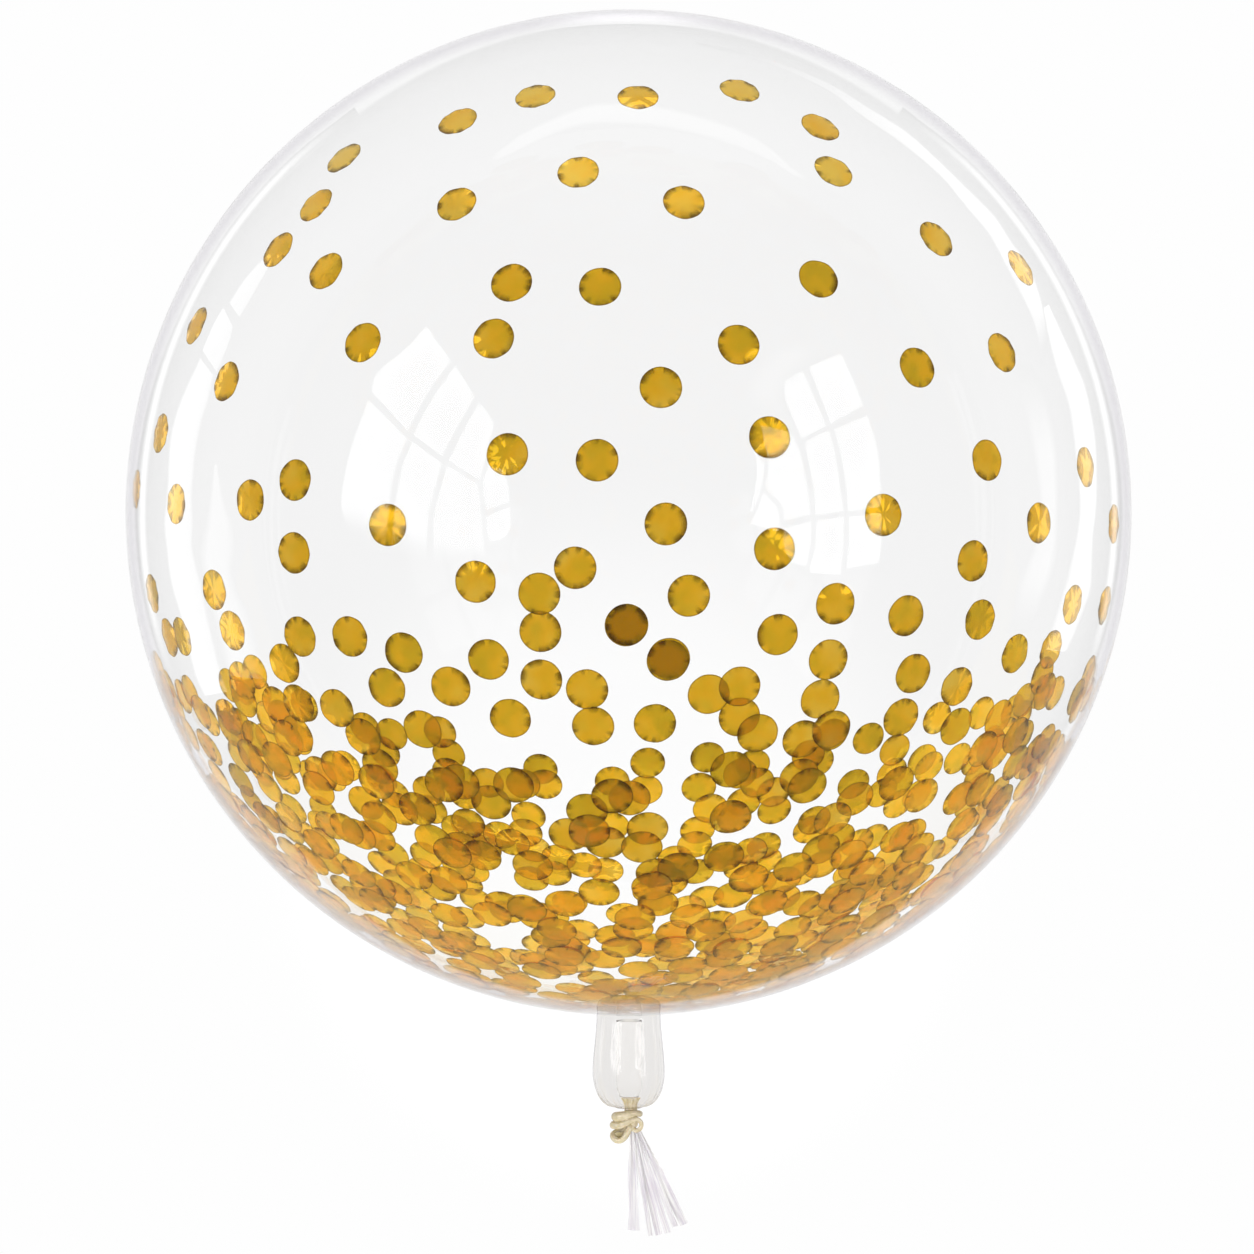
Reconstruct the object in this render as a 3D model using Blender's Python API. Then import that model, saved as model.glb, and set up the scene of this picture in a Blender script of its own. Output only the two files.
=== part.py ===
"""Clear bubble balloon: a film globe with its neck, the latex tie knotted under the neck, and the slit film tail.

The balloon lies on a small flat spot of its globe, with the neck pointing along -Y. Metres, +Z up.
The origin is the centre of the flat spot, straight below the centre of the globe.
"""

import math

import bmesh
import bpy
from mathutils import Matrix, Vector

# Globe: blown film, modelled solid because it is sealed
GLOBE_DIAMETER = 0.508
REST_SPOT_DIAMETER = 0.060

# Neck: the narrow end of the same film, measured along the balloon's axis from the globe's skin
NECK_ROOT_DIAMETER = 0.0326
NECK_BULB_DIAMETER = 0.0366
NECK_TAPER_LENGTH = 0.0295
NECK_SHOULDER_LENGTH = 0.0175
NECK_MOUTH_DIAMETER = 0.0148

# Tie: a latex cord whose flared collar plugs the mouth and whose knot hangs below it
COLLAR_TOP_DIAMETER = 0.0098
COLLAR_WAIST_DIAMETER = 0.0066
COLLAR_DEPTH = 0.0048
CORD_DIAMETER = 0.0028
BARE_STEM_LENGTH = 0.0018

# Tail: the end of the film below the knot, slit into strips
TAIL_LENGTH = 0.0500
STRIP_WIDTH = 0.0052
STRIP_THICKNESS = 0.0006
ROOT_WIDTH = 0.0064
ROOT_LENGTH = 0.0040
TAIL_DROOP = 0.0060

# Clearance between pieces that touch
CLEARANCE = 0.0003

# Fineness of the faceted surfaces
GLOBE_STEPS = 72
GLOBE_ROWS = 34
NECK_STEPS = 36
SHOULDER_ROWS = 8
TAPER_ROWS = 4
COLLAR_STEPS = 18
CORD_SIDES = 8
CORD_SAMPLES = 3
STRIP_ROWS = 8
SHARP_ANGLE = 35.0
MERGE_DISTANCE = 1e-6

# The knot's route, in cord diameters from the knot's centre: (to the right, towards the globe, up
# off the floor, thickness). It wraps the stem, makes an eye on the right and a bight on the left.
KNOT_ROUTE = (
    (0.9, 2.3, -1.1, 1.15),
    (2.0, 2.2, -0.3, 1.00),
    (1.5, 2.3, 0.7, 1.00),
    (0.1, 2.2, 1.3, 1.30),
    (-1.4, 1.9, 1.0, 1.50),
    (-2.3, 1.7, 0.1, 1.50),
    (-1.6, 1.5, -0.9, 1.30),
    (0.0, 1.2, -1.3, 1.10),
    (1.4, 0.9, -1.0, 1.00),
    (1.8, 0.2, -0.7, 1.00),
    (0.8, -0.4, -1.2, 1.00),
    (-0.9, -0.2, -1.3, 1.10),
    (-2.2, 0.1, -0.8, 1.20),
    (-2.7, 0.2, 0.1, 1.30),
    (-1.8, 0.2, 0.9, 1.20),
    (-0.7, 0.6, 1.3, 1.05),
    (0.6, 1.2, 1.4, 1.00),
    (1.6, 1.2, 1.3, 1.00),
    (2.2, 0.5, 1.1, 1.00),
    (2.0, -0.3, 1.0, 1.00),
    (1.3, -0.6, 0.9, 0.95),
    (0.6, -0.2, 0.7, 0.90),
    (0.4, 0.3, 0.3, 0.90),
    (0.0, 0.1, -0.5, 0.95),
    (-0.9, -0.8, -0.9, 1.00),
    (-2.0, -1.1, -0.8, 1.00),
    (-2.8, -1.6, -0.1, 1.00),
    (-2.5, -2.3, 0.6, 1.00),
    (-1.6, -2.5, 1.0, 1.00),
    (-0.8, -2.0, 1.2, 1.00),
    (-0.3, -1.2, 1.3, 1.00),
    (0.2, -0.2, 0.9, 1.00),
    (0.1, 0.5, 0.2, 0.90),
)

# Where the tail leaves the knot, in cord diameters from the knot's centre: to the right, away from
# the globe, and half the depth of the room that the knot leaves it
ROOT_SHIFT, ROOT_DROP, ROOT_ROOM = 1.0, 1.15, 0.75

# The strips' directions, in degrees to the right of the axis: a row for each column of strips on
# the root's end, with its strips from the lowest layer to the highest
STRIP_ANGLES = ((-0.5, 1.5, 9.5), (12.5, 15.5, 17.5), (20.5, 23.5, 26.0))

# How the strips lie: degrees between layers, the most that one turns about itself, the step that
# varies it from strip to strip, and the share of its length by which it has opened to its width
LAYER_ANGLE = 7.0
TWIST_MOST = 45.0
TWIST_STEP = 1.9
OPENED_BY = 0.55

# The share of the root's full width that it has where it leaves the knot
ROOT_SQUEEZE = 0.85

# Sizes worked out from those above
GLOBE_RADIUS = GLOBE_DIAMETER / 2
REST_HEIGHT = math.sqrt(GLOBE_RADIUS**2 - (REST_SPOT_DIAMETER / 2) ** 2)
BULB_AT = GLOBE_RADIUS + NECK_TAPER_LENGTH
MOUTH_AT = BULB_AT + NECK_SHOULDER_LENGTH
KNOT_TOP = CORD_DIAMETER * max(up + thick / 2 for _, up, _, thick in KNOT_ROUTE)
KNOT_AT = MOUTH_AT + BARE_STEM_LENGTH + KNOT_TOP
ROOT_AT = KNOT_AT + ROOT_DROP * CORD_DIAMETER + CLEARANCE
ROOT_DEPTH = 2 * (ROOT_ROOM * CORD_DIAMETER - CLEARANCE)


def on_axis(across, along, up):
    """A point given by its distance right of the balloon's axis, along it from the globe's centre, and above it."""
    return Vector((across, -along, REST_HEIGHT + up))


def material(name, colour, roughness, transmission=0.0):
    """A Principled material of one colour."""
    made = bpy.data.materials.new(name)
    made.use_nodes = True
    shader = made.node_tree.nodes["Principled BSDF"]
    shader.inputs["Base Color"].default_value = (*colour, 1.0)
    shader.inputs["Roughness"].default_value = roughness
    shader.inputs["Transmission Weight"].default_value = transmission
    return made


def add_object(name, bm, finish=None):
    """Turns a bmesh into a named, smooth-shaded object in the scene."""
    bmesh.ops.recalc_face_normals(bm, faces=bm.faces)
    mesh = bpy.data.meshes.new(name)
    bm.to_mesh(mesh)
    bm.free()
    mesh.shade_smooth()
    mesh.set_sharp_from_angle(angle=math.radians(SHARP_ANGLE))
    if finish:
        mesh.materials.append(finish)
    made = bpy.data.objects.new(name, mesh)
    bpy.context.scene.collection.objects.link(made)
    return made


def turned(name, outline, steps, finish=None):
    """Spins an outline of (radius, height) points, both ends on the axis, about the object's own Z."""
    bm = bmesh.new()
    points = [bm.verts.new((radius, 0, height)) for radius, height in outline]
    edges = [bm.edges.new(pair) for pair in zip(points, points[1:])]
    bmesh.ops.spin(
        bm, geom=points + edges, cent=(0, 0, 0), axis=(0, 0, 1), angle=math.tau, steps=steps, use_merge=True
    )
    bmesh.ops.remove_doubles(bm, verts=bm.verts, dist=MERGE_DISTANCE)
    return add_object(name, bm, finish)


def swept(name, rings, finish=None):
    """Skins a row of rings, each a list of the same number of points, and caps both ends."""
    bm = bmesh.new()
    rows = [[bm.verts.new(point) for point in ring] for ring in rings]
    for row, following in zip(rows, rows[1:]):
        for i in range(len(row)):
            j = (i + 1) % len(row)
            bm.faces.new((row[i], row[j], following[j], following[i]))
    bm.faces.new(rows[0])
    bm.faces.new(rows[-1])
    return add_object(name, bm, finish)


def boolean(target, guide, touches_itself=False):
    """Joins a guide object to a target with a Boolean union, and leaves the guide out of the model."""
    guide.hide_render = True
    guide.display_type = "WIRE"
    modifier = target.modifiers.new("Join " + guide.name, "BOOLEAN")
    modifier.operation = "UNION"
    modifier.object = guide
    modifier.use_self = touches_itself


def lay_along_axis(made):
    """Places a part turned about Z so that its own Z runs along the balloon's axis, away from the globe."""
    made.location = on_axis(0, 0, 0)
    made.rotation_euler = (math.radians(90), 0, 0)


def collar_radius(along):
    """The collar's radius at a distance along the axis: flared at its top, straight below its waist."""
    share = min(max((MOUTH_AT - along) / COLLAR_DEPTH, 0.0), 1.0)
    flare = (COLLAR_TOP_DIAMETER - COLLAR_WAIST_DIAMETER) / 2
    return COLLAR_WAIST_DIAMETER / 2 + flare * share**2


def globe():
    """The blown globe, with the flat spot that it lies on."""
    start = math.asin(REST_SPOT_DIAMETER / 2 / GLOBE_RADIUS)
    outline = [(0.0, -REST_HEIGHT)]
    for row in range(GLOBE_ROWS + 1):
        angle = start + (math.pi - start) * row / GLOBE_ROWS
        outline.append((GLOBE_RADIUS * math.sin(angle), -GLOBE_RADIUS * math.cos(angle)))
    outline[-1] = (0.0, GLOBE_RADIUS)
    film = material("Clear film", (0.95, 0.96, 0.97), 0.03, transmission=1.0)
    made = turned("bubble", outline, GLOBE_STEPS, film)
    made.location = on_axis(0, 0, 0)
    return made


def neck():
    """The neck: a taper from the globe's skin to the bulb, a round shoulder, and the mouth round the collar."""
    root, bulb, mouth = NECK_ROOT_DIAMETER / 2, NECK_BULB_DIAMETER / 2, NECK_MOUTH_DIAMETER / 2
    inside = GLOBE_RADIUS - NECK_ROOT_DIAMETER
    skin = math.sqrt(GLOBE_RADIUS**2 - root**2)
    outline = [(0.0, inside), (root, inside)]
    for row in range(TAPER_ROWS + 1):
        share = row / TAPER_ROWS
        ease = share * share * (3 - 2 * share)
        outline.append((root + (bulb - root) * ease, skin + (BULB_AT - skin) * share))
    for row in range(1, SHOULDER_ROWS + 1):
        turn = math.pi / 2 * row / SHOULDER_ROWS
        outline.append(
            (mouth + (bulb - mouth) * math.cos(turn), BULB_AT + NECK_SHOULDER_LENGTH * math.sin(turn))
        )
    pocket_top = MOUTH_AT - COLLAR_DEPTH
    for along in (MOUTH_AT, MOUTH_AT - COLLAR_DEPTH / 2, pocket_top):
        outline.append((collar_radius(along) + CLEARANCE, along))
    outline.append((0.0, pocket_top))
    made = turned("neck guide", outline, NECK_STEPS)
    lay_along_axis(made)
    return made


def smooth_route(route, samples):
    """Points of a Catmull-Rom curve through a route of tuples, with so many samples to each stretch."""
    rows = [Vector(row) for row in route]
    rows = [rows[0] * 2 - rows[1], *rows, rows[-1] * 2 - rows[-2]]
    found = []
    for a, b, c, d in zip(rows, rows[1:], rows[2:], rows[3:]):
        for i in range(samples):
            t = i / samples
            found.append(
                0.5 * (2 * b + (c - a) * t + (2 * a - 5 * b + 4 * c - d) * t**2 + (3 * b - a - 3 * c + d) * t**3)
            )
    return [*found, rows[-2]]


def cord_rings(route):
    """Round rings along the knot's route, turned as little as possible from one to the next."""
    samples = smooth_route(route, CORD_SAMPLES)
    points = [
        on_axis(right * CORD_DIAMETER, KNOT_AT - up * CORD_DIAMETER, off * CORD_DIAMETER)
        for right, up, off, _ in samples
    ]
    side = None
    rings = []
    for i, point in enumerate(points):
        along = (points[min(i + 1, len(points) - 1)] - points[max(i - 1, 0)]).normalized()
        side = along.orthogonal() if side is None else side - along * side.dot(along)
        side.normalize()
        radius = samples[i][3] * CORD_DIAMETER / 2
        step = Matrix.Rotation(math.tau / CORD_SIDES, 3, along)
        spoke = side * radius
        ring = []
        for _ in range(CORD_SIDES):
            ring.append(point + spoke)
            spoke = step @ spoke
        rings.append(ring)
    return rings


def tie():
    """The knotted cord, joined to the stem that comes down through it from the collar."""
    latex = material("Cream latex", (0.72, 0.62, 0.42), 0.35)
    made = swept("latex_tie", cord_rings(KNOT_ROUTE), latex)
    top = MOUTH_AT - COLLAR_DEPTH + CLEARANCE
    bottom = KNOT_AT - CORD_DIAMETER / 2
    outline = [(0.0, top)]
    for along in (top, (top + MOUTH_AT) / 2, MOUTH_AT, bottom):
        outline.append((collar_radius(along), along))
    outline.append((0.0, bottom))
    stem = turned("stem guide", outline, COLLAR_STEPS)
    lay_along_axis(stem)
    boolean(made, stem, touches_itself=True)
    return made


def root_point(column, layer, reach):
    """A point of the tail's root: column and layer run from -1 to 1 over its round section, reach from 0 to 1."""
    lean = math.radians(STRIP_ANGLES[1][1])
    spread = ROOT_SQUEEZE + (1 - ROOT_SQUEEZE) * reach
    across = column * math.sqrt(1 - layer**2 / 2) * spread * ROOT_WIDTH / 2
    up = layer * math.sqrt(1 - column**2 / 2) * spread * ROOT_DEPTH / 2
    along = ROOT_AT + math.cos(lean) * ROOT_LENGTH * reach
    return Vector((ROOT_SHIFT * CORD_DIAMETER + math.sin(lean) * ROOT_LENGTH * reach + across, along, up))


def strip_ring(column, layer, corners, reach):
    """One strip's rectangle at a share of its length: it opens out from its cell's corners, turns and droops."""
    fan = math.radians(STRIP_ANGLES[column][layer])
    rise = math.radians(LAYER_ANGLE) * (layer - 1)
    turn = math.radians(TWIST_MOST) * math.sin(TWIST_STEP * (column * len(STRIP_ANGLES[0]) + layer)) * reach
    heading = Vector((math.sin(fan) * math.cos(rise), math.cos(fan) * math.cos(rise), math.sin(rise)))
    across = Matrix.Rotation(turn, 3, heading) @ Vector((math.cos(fan), -math.sin(fan), 0))
    narrow = (corners[1] - corners[0]).length
    width = narrow + (STRIP_WIDTH - narrow) * min(reach / OPENED_BY, 1.0)
    middle = sum(corners, Vector((0, 0, 0))) / len(corners) + heading * (TAIL_LENGTH - ROOT_LENGTH) * reach
    middle.z -= TAIL_DROOP * reach**2
    side = across * width / 2
    skin = across.cross(heading) * STRIP_THICKNESS / 2
    return [middle + side * a + skin * b for a, b in ((-1, -1), (1, -1), (1, 1), (-1, 1))]


def grow_strip(bm, cell, column, layer):
    """Grows one cell of the root's end into a strip, row by row, and closes its tip."""
    corners = [vert.co.copy() for vert in cell]
    row = cell
    for step in range(1, STRIP_ROWS + 1):
        following = [bm.verts.new(point) for point in strip_ring(column, layer, corners, step / STRIP_ROWS)]
        for i in range(4):
            bm.faces.new((row[i - 1], row[i], following[i], following[i - 1]))
        row = following
    bm.faces.new(row)


def rim(grid):
    """The outer points of a grid of points, in order round it."""
    first = [line[0] for line in grid]
    last = [line[-1] for line in reversed(grid)]
    return [*first[:-1], *grid[-1][:-1], *last[:-1], *reversed(grid[0][1:])]


def tail():
    """The gathered film that comes out of the knot, and the strips slit from it, in one piece."""
    columns, layers = 2 * len(STRIP_ANGLES) + 1, 2 * len(STRIP_ANGLES[0]) + 1
    bm = bmesh.new()
    grids = [
        [
            [bm.verts.new(root_point(2 * i / columns - 1, 2 * j / layers - 1, reach)) for j in range(layers + 1)]
            for i in range(columns + 1)
        ]
        for reach in (0.0, 1.0)
    ]
    for is_end, grid in enumerate(grids):
        for i in range(columns):
            for j in range(layers):
                cell = [grid[i][j], grid[i + 1][j], grid[i + 1][j + 1], grid[i][j + 1]]
                if is_end and i % 2 and j % 2:
                    grow_strip(bm, cell, i // 2, j // 2)
                else:
                    bm.faces.new(cell)
    start, end = (rim(grid) for grid in grids)
    for i in range(len(start)):
        bm.faces.new((start[i - 1], start[i], end[i], end[i - 1]))
    for vert in bm.verts:
        vert.co = on_axis(*vert.co)
    return add_object("film_tail", bm, material("Milky film", (0.86, 0.84, 0.88), 0.25, transmission=0.5))


def main():
    """Builds the three pieces: the bubble with its neck, the tie and the tail."""
    for old in list(bpy.data.objects):
        bpy.data.objects.remove(old)
    boolean(globe(), neck())
    tie()
    tail()


main()
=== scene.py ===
"""Looks for a clear bubble balloon with gold confetti, which lies on a small flat spot of its globe.

Each sub-assembly is a class that holds its sizes, builds its meshes and dresses them in a finish.
Lengths are in metres. "Along" is the distance from the globe's centre towards the neck, down the
balloon's axis; "up" is the height over that axis.
"""

import logging
import math
import random
from dataclasses import dataclass, field
from enum import Enum

import bmesh
import bpy
import numpy as np
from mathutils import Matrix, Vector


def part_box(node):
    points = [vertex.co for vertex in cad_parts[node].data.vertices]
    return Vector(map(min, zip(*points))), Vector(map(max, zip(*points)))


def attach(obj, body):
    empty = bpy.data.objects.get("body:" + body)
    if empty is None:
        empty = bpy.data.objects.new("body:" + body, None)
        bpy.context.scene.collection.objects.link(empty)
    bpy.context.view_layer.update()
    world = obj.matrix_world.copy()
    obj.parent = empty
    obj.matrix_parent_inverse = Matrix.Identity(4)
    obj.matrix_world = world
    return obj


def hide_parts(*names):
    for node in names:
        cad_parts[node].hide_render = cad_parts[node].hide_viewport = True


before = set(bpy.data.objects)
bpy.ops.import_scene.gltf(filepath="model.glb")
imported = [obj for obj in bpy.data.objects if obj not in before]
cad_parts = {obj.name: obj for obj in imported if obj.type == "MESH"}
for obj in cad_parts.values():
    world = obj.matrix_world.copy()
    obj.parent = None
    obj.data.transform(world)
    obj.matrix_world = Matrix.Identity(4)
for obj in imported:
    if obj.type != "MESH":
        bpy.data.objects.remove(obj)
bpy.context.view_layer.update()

LOG = logging.getLogger("bubble_balloon")
MM = 0.001
WHITE = "#FFFFFF"
SHARP = math.radians(40)
SMOOTH = {"interpolation_type": "SMOOTHSTEP"}

Tree = bpy.types.NodeTree
Socket = bpy.types.NodeSocket
Pair = tuple[float, float]
Triple = tuple[float, float, float]


# Colours and nodes


def linear(code: str) -> tuple[float, float, float, float]:
    """Turns an sRGB hex colour into the linear colour that a shader reads.

    Args:
        code: The colour as six hex digits after a hash.

    Returns:
        Red, green, blue and alpha, from 0 to 1.
    """
    shares = [int(code[i : i + 2], 16) / 255 for i in (1, 3, 5)]
    red, green, blue = (s / 12.92 if s <= 0.04045 else ((s + 0.055) / 1.055) ** 2.4 for s in shares)
    return red, green, blue, 1.0


def set_node(node: bpy.types.Node, settings: dict) -> None:
    """Sets a node's properties and inputs, and links other nodes to its inputs.

    Args:
        node: The node.
        settings: What goes to each property or input, by its name or the input's number. A node stands for
            its first output.
    """
    for name, value in settings.items():
        source = value.outputs[0] if isinstance(value, bpy.types.Node) else value
        if isinstance(source, bpy.types.NodeSocket):
            node.id_data.links.new(source, node.inputs[name])
        elif isinstance(name, str) and hasattr(node, name):
            setattr(node, name, source)
        else:
            node.inputs[name].default_value = source


def add_node(tree: Tree, kind: str, settings: dict | None = None) -> bpy.types.Node:
    """Adds a node with its settings and links.

    Args:
        tree: The tree that the node goes into.
        kind: Blender's name of the node's type, without the start that all of them share.
        settings: What goes to each property or input, as set_node takes it.

    Returns:
        The new node.
    """
    node = tree.nodes.new("ShaderNode" + kind)
    set_node(node, settings or {})
    return node


def new_material(name: str) -> tuple[bpy.types.Material, Tree]:
    """Starts a material.

    Args:
        name: The material's name, for what the real one is.

    Returns:
        The material and its tree, with the shader that a new one has.
    """
    material = bpy.data.materials.new(name)
    material.use_nodes = True
    return material, material.node_tree


# Finishes, each named for the real material


@dataclass(frozen=True)
class BlownFilm:
    """Stretched polyurethane film, blown round, with a slow ripple left by the blowing."""

    name: str = "Blown clear film"
    tint: str = "#FBFBFB"
    painted_rim_shade: str = "#D9D6DC"
    ior: float = 1.2
    roughness: float = 0.0
    edge: Pair = (0.74, 0.88)
    ripple: float = 38 * MM
    ripple_height: float = 0.02 * MM
    drawn: float = 1.0
    milk: float = 0.0

    def make(self) -> bpy.types.Material:
        """Builds the material.

        Returns:
            Clear film that is see-through by plain values, with painted grey shade at its rim where it is
            seen edge-on, and the ripple as a bump.
        """
        material, tree = new_material(self.name)
        shader = tree.nodes["Principled BSDF"]
        # Film blown this thin hardly bends what lies behind it and mirrors sharply
        set_node(shader, {
            "Base Color": linear(self.tint),
            "Roughness": self.roughness,
            "IOR": self.ior,
            "Transmission Weight": 1.0 - self.milk,
        })
        # Painted shade: the colour turns grey where the film is seen edge-on, at the globe's rim
        facing = add_node(tree, "LayerWeight", {"Blend": 0.5})
        low, high = self.edge
        settings = {**SMOOTH, "Value": facing.outputs["Facing"], "From Min": low, "From Max": high}
        edge = add_node(tree, "MapRange", settings)
        settings = {"data_type": "RGBA", 0: edge, 6: linear(self.tint), 7: linear(self.painted_rim_shade)}
        colour = add_node(tree, "Mix", settings)
        place = add_node(tree, "TexCoord").outputs["Object"]
        lie = add_node(tree, "Mapping", {"Scale": (1.0, 1 / self.drawn, 1.0), "Vector": place})
        ripple = add_node(tree, "TexNoise", {"Vector": lie, "Scale": 1 / self.ripple, "Detail": 1.0})
        relief = add_node(tree, "Bump", {"Height": ripple, "Distance": self.ripple_height})
        set_node(shader, {"Base Color": colour.outputs[2], "Normal": relief})
        return material


@dataclass(frozen=True)
class GoldFoil:
    """Film with a gold coating, punched into confetti discs that the punch creases at their rims."""

    # The light stop also serves the painted light on discs towards the far end
    light: str = "#FFDD5C"
    middle: str = "#FFCD26"
    deep: str = "#E9C526"
    # Painted shade: the darkest stop, for discs stuck one on another
    doubled: str = "#E8BC1C"
    # Painted shade in the rim creases, also used for the darker line round the rim
    crease_shade_and_rim_line: str = "#6A4606"
    metallic: float = 0.36
    transmission: float = 0.92
    ior: float = 1.2
    roughness: float = 0.0
    crinkle: float = 3.5 * MM
    crinkle_height: float = 0.02 * MM
    crease_scale: float = 1.7
    crease_spread: float = 90.0
    crease_levels: Pair = (0.5, 0.61)
    crease_reach: Pair = (0.58, 1.0)
    edge_line: Pair = (0.91, 0.98)
    edge_share: float = 0.5
    rim_darkening_share: float = 0.95
    # Painted sheen: a slow change, lighter and darker, over each face stands in for the foil's reflections
    painted_sheen_scale: float = 0.8
    painted_sheen_spread: float = 50.0
    painted_sheen_swing: float = 1.5
    deep_at: float = 0.2
    middle_at: float = 0.5

    def varied(self, tree: Tree, place: Socket, scale: float, spread: float) -> bpy.types.Node:
        """Makes a slow change that differs from disc to disc.

        Args:
            tree: The material's tree.
            place: The output with the place on the disc, in radii.
            scale: How many times it changes in one radius.
            spread: How far apart two discs' changes lie.

        Returns:
            The node with the change.
        """
        island = add_node(tree, "NewGeometry").outputs["Random Per Island"]
        own = add_node(tree, "Math", {"operation": "MULTIPLY", 0: island, 1: spread})
        settings = {"noise_dimensions": "4D", "Vector": place, "W": own, "Scale": scale, "Detail": 1.0}
        return add_node(tree, "TexNoise", settings)

    def rim_darkening(self, tree: Tree, local: Socket) -> bpy.types.Node:
        """Works out how dark each disc is towards its rim: painted shade in short creases that point inwards,
        and a darker line round the rim.

        Args:
            tree: The material's tree.
            local: The output with the place on the disc, in radii.

        Returns:
            The node with that share.
        """
        heading = add_node(tree, "VectorMath", {"operation": "NORMALIZE", 0: local}).outputs[0]
        reach = add_node(tree, "VectorMath", {"operation": "LENGTH", 0: local}).outputs["Value"]
        folds = self.varied(tree, heading, self.crease_scale, self.crease_spread)
        shares = []
        for source, (low, high) in (
            (folds, self.crease_levels),
            (reach, self.crease_reach),
            (reach, self.edge_line),
        ):
            settings = {**SMOOTH, "Value": source, "From Min": low, "From Max": high}
            shares.append(add_node(tree, "MapRange", settings))
        marks = add_node(tree, "Math", {"operation": "MULTIPLY", 0: shares[0], 1: shares[1]})
        line = add_node(tree, "Math", {"operation": "MULTIPLY", 0: shares[2], 1: self.edge_share})
        return add_node(tree, "Math", {"operation": "MAXIMUM", 0: marks, 1: line})

    def make(self) -> bpy.types.Material:
        """Builds the material.

        Returns:
            Gold film with painted shade in its rim creases and a painted sheen that changes slowly over each
            face, whose tone varies from disc to disc as each disc's shade attribute gives it.
        """
        material, tree = new_material("Gold-coated film")
        shader = tree.nodes["Principled BSDF"]
        # So thin a coating mirrors only a little, and lets warm light through
        set_node(shader, {
            "Metallic": self.metallic,
            "Roughness": self.roughness,
            "IOR": self.ior,
            "Transmission Weight": self.transmission,
        })
        local = add_node(tree, "Attribute", {"attribute_name": "local"}).outputs["Vector"]
        tone = add_node(tree, "Attribute", {"attribute_name": "shade"}).outputs["Fac"]
        # Painted sheen, lighter and darker over each face
        face = self.varied(tree, local, self.painted_sheen_scale, self.painted_sheen_spread)
        settings = {"operation": "MULTIPLY_ADD", 0: face, 1: self.painted_sheen_swing, 2: -self.painted_sheen_swing / 2}
        swing = add_node(tree, "Math", settings)
        share = add_node(tree, "Math", {"operation": "ADD", "use_clamp": True, 0: tone, 1: swing})
        # The ramp's light stop also gives the painted light on discs at the far end, and its doubled stop the
        # painted shade of stacked pairs
        shade = add_node(tree, "ValToRGB", {0: share})
        stops = shade.color_ramp.elements
        stops[0].color = linear(self.doubled)
        stops[1].color = linear(self.light)
        stops.new(self.deep_at).color = linear(self.deep)
        stops.new(self.middle_at).color = linear(self.middle)
        # Painted shade in the creases at each disc's rim, and a darker line round it
        marks = self.rim_darkening(tree, local)
        depth = add_node(tree, "Math", {"operation": "MULTIPLY", 0: marks, 1: self.rim_darkening_share})
        colour = add_node(tree, "Mix", {"data_type": "RGBA", 0: depth, 6: shade, 7: linear(self.crease_shade_and_rim_line)})
        place = add_node(tree, "TexCoord").outputs["Object"]
        crinkle = add_node(tree, "TexNoise", {"Vector": place, "Scale": 1 / self.crinkle, "Detail": 2.0})
        relief = add_node(tree, "Bump", {"Height": crinkle, "Distance": self.crinkle_height})
        set_node(shader, {"Base Color": colour.outputs[2], "Normal": relief})
        return material


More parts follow.
